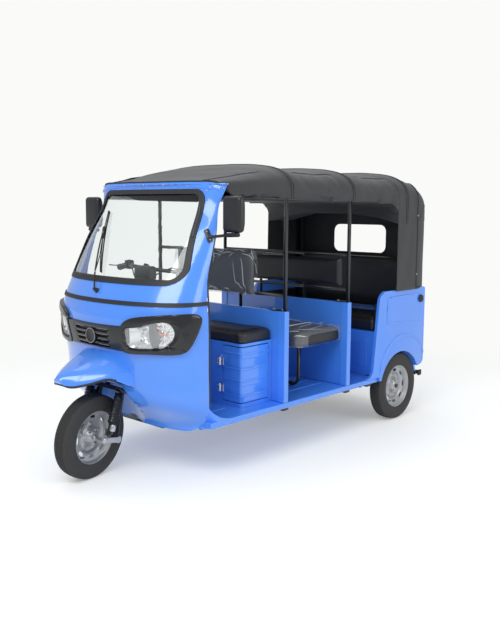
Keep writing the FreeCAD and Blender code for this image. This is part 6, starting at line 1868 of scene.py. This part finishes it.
# %%
bolt, bolt_faces = hexagon(0.013, 0.006)
shell_side = skin("cab_front_shell")
for side, tag in TAG.items():
    for name, (x, y) in {"front": (0.545, -0.203), "middle": (0.555, 0.478)}.items():
        plate = rounded_box("hoop_foot_%s_%s" % (name, tag), (side * x, y, 0.9615),
                            (0.105, 0.040, 0.005), 0.0022, 3)
        place(plate, material=BLACK_PAINT, slot="black_paint", angle=60)
        place(scatter("hoop_bolts_%s_%s" % (name, tag), bolt, bolt_faces,
                      [(side * (x - 0.036), y, 0.964), (side * (x + 0.036), y, 0.964)], (0, 0, 1)),
              material=ZINC, slot="silver_steel")
    y = np.linspace(-0.892, -0.700, 60)
    top = np.interp(y, [-0.906, -0.893, -0.883, -0.876, -0.860, -0.836, -0.813, -0.791, -0.745,
                        -0.700], [0.484, 0.483, 0.478, 0.456, 0.434, 0.415, 0.400, 0.389, 0.375,
                                  0.3675])
    top[2:-2] = np.convolve(top, np.ones(5) / 5, "valid")
    low = np.interp(y, [-0.892, -0.870, -0.840, -0.800], [0.3190, 0.3205, 0.3260, 0.3305])
    share = np.linspace(0, 1, 26)[:, None]
    z = low + share * (top - low)
    rows_z = z[:, [8]]
    probe = np.concatenate([np.full_like(rows_z, side * 0.9), np.full_like(rows_z, -0.884),
                            rows_z], 1)
    beside = np.abs(laid(shell_side, probe, (-side, 0, 0), 0.0, 0.0)[0][:, 0])
    beside = np.where(beside > 0.7, np.nan, beside)
    known = ~np.isnan(beside)
    beside = np.interp(np.arange(len(beside)), np.flatnonzero(known), beside[known])[:, None]
    ease = np.clip((y + 0.882) / 0.075, 0, 1)
    ease = ease * ease * (3 - 2 * ease)
    round_off = 0.008 * (1 - np.sqrt(np.clip(1 - ((share - 0.5) / 0.5) ** 16, 0, 1)))
    wide_x = beside + 0.0012 + (0.6185 - beside - 0.0012) * ease - round_off * ease
    face = np.stack([side * wide_x, np.broadcast_to(y, z.shape), z], -1)
    back = face.copy()
    back[..., 0] = side * (wide_x - 0.024)
    place(thick_sheet("sill_heel_" + tag, face, back), material=BLUE, slot="blue_paint", angle=50)

# %% [markdown]
# ## Front suspension details
#
# Ribbed boots cover the two front struts: the radius swings between 21 and 26 mm. Below each sits
# a plated clamp, and the axle ends in a washer and a nut.

# %%
for side, tag in TAG.items():
    foot, head = np.array([side * 0.1185, -1.214, 0.268]), np.array([side * 0.1205, -1.146, 0.511])
    aim = head - foot
    length = np.linalg.norm(aim)
    along = np.linspace(0.26, 0.86, 90) * length
    wave = 0.0232 + 0.0028 * np.cos(along * 2 * math.pi / 0.0125)
    profile = [(0.26 * length, 0.0005)] + list(zip(along, wave)) + [(0.86 * length, 0.0005)]
    place(lathe("strut_boot_" + tag, profile, foot, aim, 32), "steering", RUBBER, "seal_rubber")
    cap = [(0.86 * length, 0.0005), (0.86 * length, 0.0245), (0.90 * length, 0.0245),
           (0.94 * length, 0.016), (0.94 * length, 0.0005)]
    place(lathe("strut_cap_" + tag, cap, foot, aim, 32), "steering", BLACK_PAINT, "black_paint")
    clamp = [(0.10 * length, 0.0005), (0.10 * length, 0.0175), (0.12 * length, 0.0195),
             (0.22 * length, 0.0195), (0.255 * length, 0.0165), (0.255 * length, 0.0005)]
    place(lathe("strut_clamp_" + tag, clamp, foot, aim, 32), "steering", ZINC, "silver_steel")
hub, _ = axle_of("front_wheel")
for side, tag in TAG.items():
    ledge = 0.133 * side
    washer = [(0.0, 0.0005), (0.0, 0.0185), (0.003, 0.0185), (0.0035, 0.0175), (0.0035, 0.0005)]
    at = np.array([ledge, hub[1], hub[2]])
    place(lathe("axle_washer_" + tag, washer, at, (side, 0, 0), 32), "steering", ZINC,
          "silver_steel")
    nut, nut_faces = hexagon(0.030, 0.011)
    place(scatter("axle_nut_" + tag, nut, nut_faces, [at + [side * 0.0032, 0, 0]], (side, 0, 0)),
          "steering", ZINC, "silver_steel")


# %% [markdown]
# ## Rear quarters
#
# Pressed beads run round the quarter's arch and its raised field. Each bead is a curve in y and z
# that is carried onto the panel from outside.

# %%
arch = [(0.862, 0.392), (0.890, 0.468), (0.950, 0.551), (1.040, 0.618), (1.140, 0.650),
        (1.246, 0.645), (1.340, 0.618), (1.418, 0.576), (1.470, 0.520), (1.486, 0.470)]
field = [(0.985, 0.948), (1.200, 0.953), (1.395, 0.958), (1.416, 0.940), (1.428, 0.830),
         (1.430, 0.745), (1.412, 0.728), (1.200, 0.750), (0.965, 0.772), (0.945, 0.790),
         (0.952, 0.870), (0.962, 0.930)]
arch_line, field_line = smooth(np.array(arch), 120), smooth(np.array(field), 180, True)
liner_turn = np.radians(np.linspace(8, 172, 60))
LINER_GAP = 0.040  # from the tyre's tread out to the liner
for side in (1, -1):
    tag = "left" if side > 0 else "right"
    quarter_skin = skin("rear_quarter_" + tag)
    for name, line, width, lift, closed in (("arch", arch_line, 0.020, 0.007, False),
                                            ("field", field_line, 0.012, 0.0045, True)):
        start = np.stack([np.full(len(line), side * 0.9), line[:, 0], line[:, 1]], -1)
        spots, normals = cast(quarter_skin, start, (-side, 0, 0))
        good = ~np.isnan(spots[:, 0])
        path = spots[good]
        path[:, 0] = side * np.maximum(np.abs(path[:, 0]), 0.6185)
        if closed:
            path = np.concatenate([path, path[:2]])
        bead = strip("quarter_%s_%s" % (name, tag), path - [side * 0.0008, 0, 0], (side, 0, 0),
                     width, lift)
        place(bead, material=BLUE, slot="blue_paint", angle=80)
    hub, _ = axle_of("rear_%s_tyre" % tag)
    reach = TYRE_RADIUS + LINER_GAP
    ring = np.stack([hub[1] + np.cos(liner_turn) * reach, hub[2] + np.sin(liner_turn) * reach], -1)
    x = np.linspace(0.500, 0.598, 6)
    liner = np.stack([np.broadcast_to(side * x[:, None], (6, 60)),
                      np.broadcast_to(ring[:, 0], (6, 60)), np.broadcast_to(ring[:, 1], (6, 60))],
                     -1)
    out = np.stack([np.zeros(60), np.cos(liner_turn), np.sin(liner_turn)], -1) * 0.003
    place(thick_sheet("wheelhouse_liner_" + tag, liner, liner + out), material=RUBBER,
          slot="black_plastic")
for side in (1, -1):
    pad = rounded_box("side_pad_" + TAG[side], (side * 0.5805, 1.120, 0.861),
                      (0.042, 0.500, 0.098), 0.014, 5)
    place(pad, material=VINYL, slot="black_vinyl", angle=60)
cap_at = np.array([0.634, 1.419, 0.913])
ring = [(-0.006, 0.0225), (-0.006, 0.030), (0.002, 0.030), (0.004, 0.0285), (0.004, 0.0235),
        (0.002, 0.0225)]
place(lathe("filler_ring", ring, cap_at, (1, 0, 0), 48, True), material=RUBBER, slot="seal_rubber")
tab = rounded_box("filler_tab", cap_at + [0.002, -0.002, 0.0], (0.008, 0.010, 0.030), 0.0035, 3)
place(tab, material=PLASTIC, slot="black_plastic", angle=60)

# %% [markdown]
# ## Tail
#
# The tail lamps get divided lenses, the hatch a handle and pressed louvres, and the bumper
# rubber end caps.

# %%
lamp_low, lamp_high = span("tail_lamps")
hatch_skin = skin("rear_hatch")
for side, tag in TAG.items():
    inner_x = lamp_high[0] - 0.118
    for number, z in enumerate(np.linspace(lamp_low[2] + 0.03, lamp_high[2] - 0.03, 3)[:2] + 0.022):
        bar = [(side * (inner_x + 0.012), lamp_high[1] - 0.003, z),
               (side * (lamp_high[0] - 0.012), lamp_high[1] - 0.003, z)]
        place(sweep("lamp_divider_%d_%s" % (number, tag), np.linspace(*np.array(bar), 6), 0.0030,
                    8), material=PLASTIC, slot="black_plastic")
handle = smooth([(-0.060, 1.507, 0.742), (-0.058, 1.524, 0.742), (-0.030, 1.530, 0.742),
                 (0.030, 1.530, 0.742), (0.058, 1.524, 0.742), (0.060, 1.507, 0.742)], 40)
place(sweep("hatch_handle", handle, 0.0055, 14), "hatch", CHROME, "silver_steel")
for number, z in enumerate(np.linspace(0.500, 0.640, 6)):
    for side in (1, -1):
        line = np.stack([side * np.linspace(0.06, 0.26, 16), np.full(16, 1.60), np.full(16, z)], -1)
        spots, _ = laid(hatch_skin, line, (0, -1, 0), 0.0, 0.0)
        louvre = strip("hatch_louvre_%d_%s" % (number, TAG[side]), spots - [0, 0.0006, 0],
                       (0, 1, 0), 0.012, 0.006)
        place(louvre, "hatch", BLUE, "blue_paint", angle=80)
bumper_high = span("rear_bumper")[1]
for side in (1, -1):
    end = rounded_box("bumper_cap_" + TAG[side],
                      (side * (bumper_high[0] - 0.004), bumper_high[1] - 0.022, 0.300),
                      (0.016, 0.046, 0.046), 0.007, 4)
    place(end, material=RUBBER, slot="black_plastic", angle=60)

# %% [markdown]
# ## Drive block and rear springs
#
# The plain block of the drive gets cooling ribs. Each rear damper carries a coil spring:
# P(t) = axis(t) + R (cos 2 pi n t, sin 2 pi n t, 0), with end turns that lie flat.

# %%
block_low, block_high = span("engine")
for number, y in enumerate(np.linspace(block_low[1] + 0.03, block_high[1] - 0.03, 12)):
    for side in (1, -1):
        fin = rounded_box("drive_fin_%02d_%s" % (number, TAG[side]),
                          (side * (block_high[0] + 0.005), y, 0.39), (0.018, 0.007, 0.24), 0.0028,
                          2)
        place(fin, material=ALLOY, slot="cast_alloy", angle=60)
shock_low, shock_high = span("rear_shocks")
for side in (1, -1):
    turn = np.linspace(0, 1, 260)
    swirl = turn * 2 * math.pi * 8.5
    height = shock_low[2] + 0.055 + np.clip((turn - 0.05) / 0.9, 0,
                                            1) * (shock_high[2] - shock_low[2] - 0.11)
    coil = np.stack([side * 0.44 + 0.033 * np.cos(swirl), 1.137 + 0.033 * np.sin(swirl), height],
                    -1)
    place(sweep("rear_coil_" + TAG[side], coil, 0.0052, 8), material=BLACK_PAINT,
          slot="black_paint")

# %% [markdown]
# ## Canopy trims
#
# Sewn bands lie over the hoops, piping runs along the eaves, and the hems are bound.

# %%
roof_normal = np.cross(np.gradient(roof, axis=0), np.gradient(roof, axis=1))
roof_normal /= np.linalg.norm(roof_normal, axis=-1, keepdims=True)
roof_normal *= np.sign((roof_normal * (roof - [0, 0, 1.4]) * [1, 0, 1]).sum(-1, keepdims=True))
for number, hoop_y in enumerate(list(hoops)):
    row = int(np.abs(roof[:, 56, 1] - hoop_y).argmin())
    if row < 3 or row > len(roof) - 3:
        continue
    for offset in (-0.011, 0.011):
        path = roof[row] + roof_normal[row] * 0.0018 + [0, offset, 0]
        place(sweep("canopy_seam_%d_%s" % (number, "ab"[offset > 0]), path[2:-2], 0.0016, 6),
              material=WELT, slot="black_canvas")
for side, column in ((1, -1), (-1, 0)):
    tag = TAG[side]
    half = roof[:, 56:] if side > 0 else roof[:, 56::-1]
    pick = np.abs(half[..., 2] - eave(half[..., 1])).argmin(1)
    run = half[np.arange(len(half)), pick]
    run = run[run[:, 1] > canopy_low[1] + 0.06]
    for axis in range(3):
        run[3:-3, axis] = np.convolve(run[:, axis], np.ones(7) / 7, "valid")
    place(sweep("eave_piping_" + tag, even(run, 220) + [side * 0.003, 0, 0], 0.0034, 8),
          material=WELT, slot="black_canvas")
    hem_run = roof[:, column]
    hem_run = hem_run[(hem_run[:, 1] > canopy_low[1] + 0.02) & (hem_run[:, 1] < FLAP_FRONT - 0.01)]
    place(sweep("valance_binding_" + tag, even(hem_run, 160), 0.0040, 8), material=RUBBER,
          slot="black_canvas")
    edge = (left_flap if side > 0 else right_flap)[:, -1]
    place(sweep("flap_binding_" + tag, even(edge, 60) + [side * 0.0015, 0, 0.006], 0.0046, 8),
          material=RUBBER, slot="black_canvas")
    snaps = even(edge, 60)[[6, 24, 42, 56]] + [side * 0.0035, 0, 0.020]
    place(scatter("flap_snaps_" + tag, *dome(0.0065, 0.004), snaps, (side, 0, 0)), material=ZINC,
          slot="silver_steel")


# %%
low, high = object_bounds()
for part, shown_node in frame["nodes"].items():
    if not shown_node.hide_render:
        shown_node.data.materials.clear()
        shown_node.data.materials.append(SLOT_FINISH[SLOT_OF[part]])
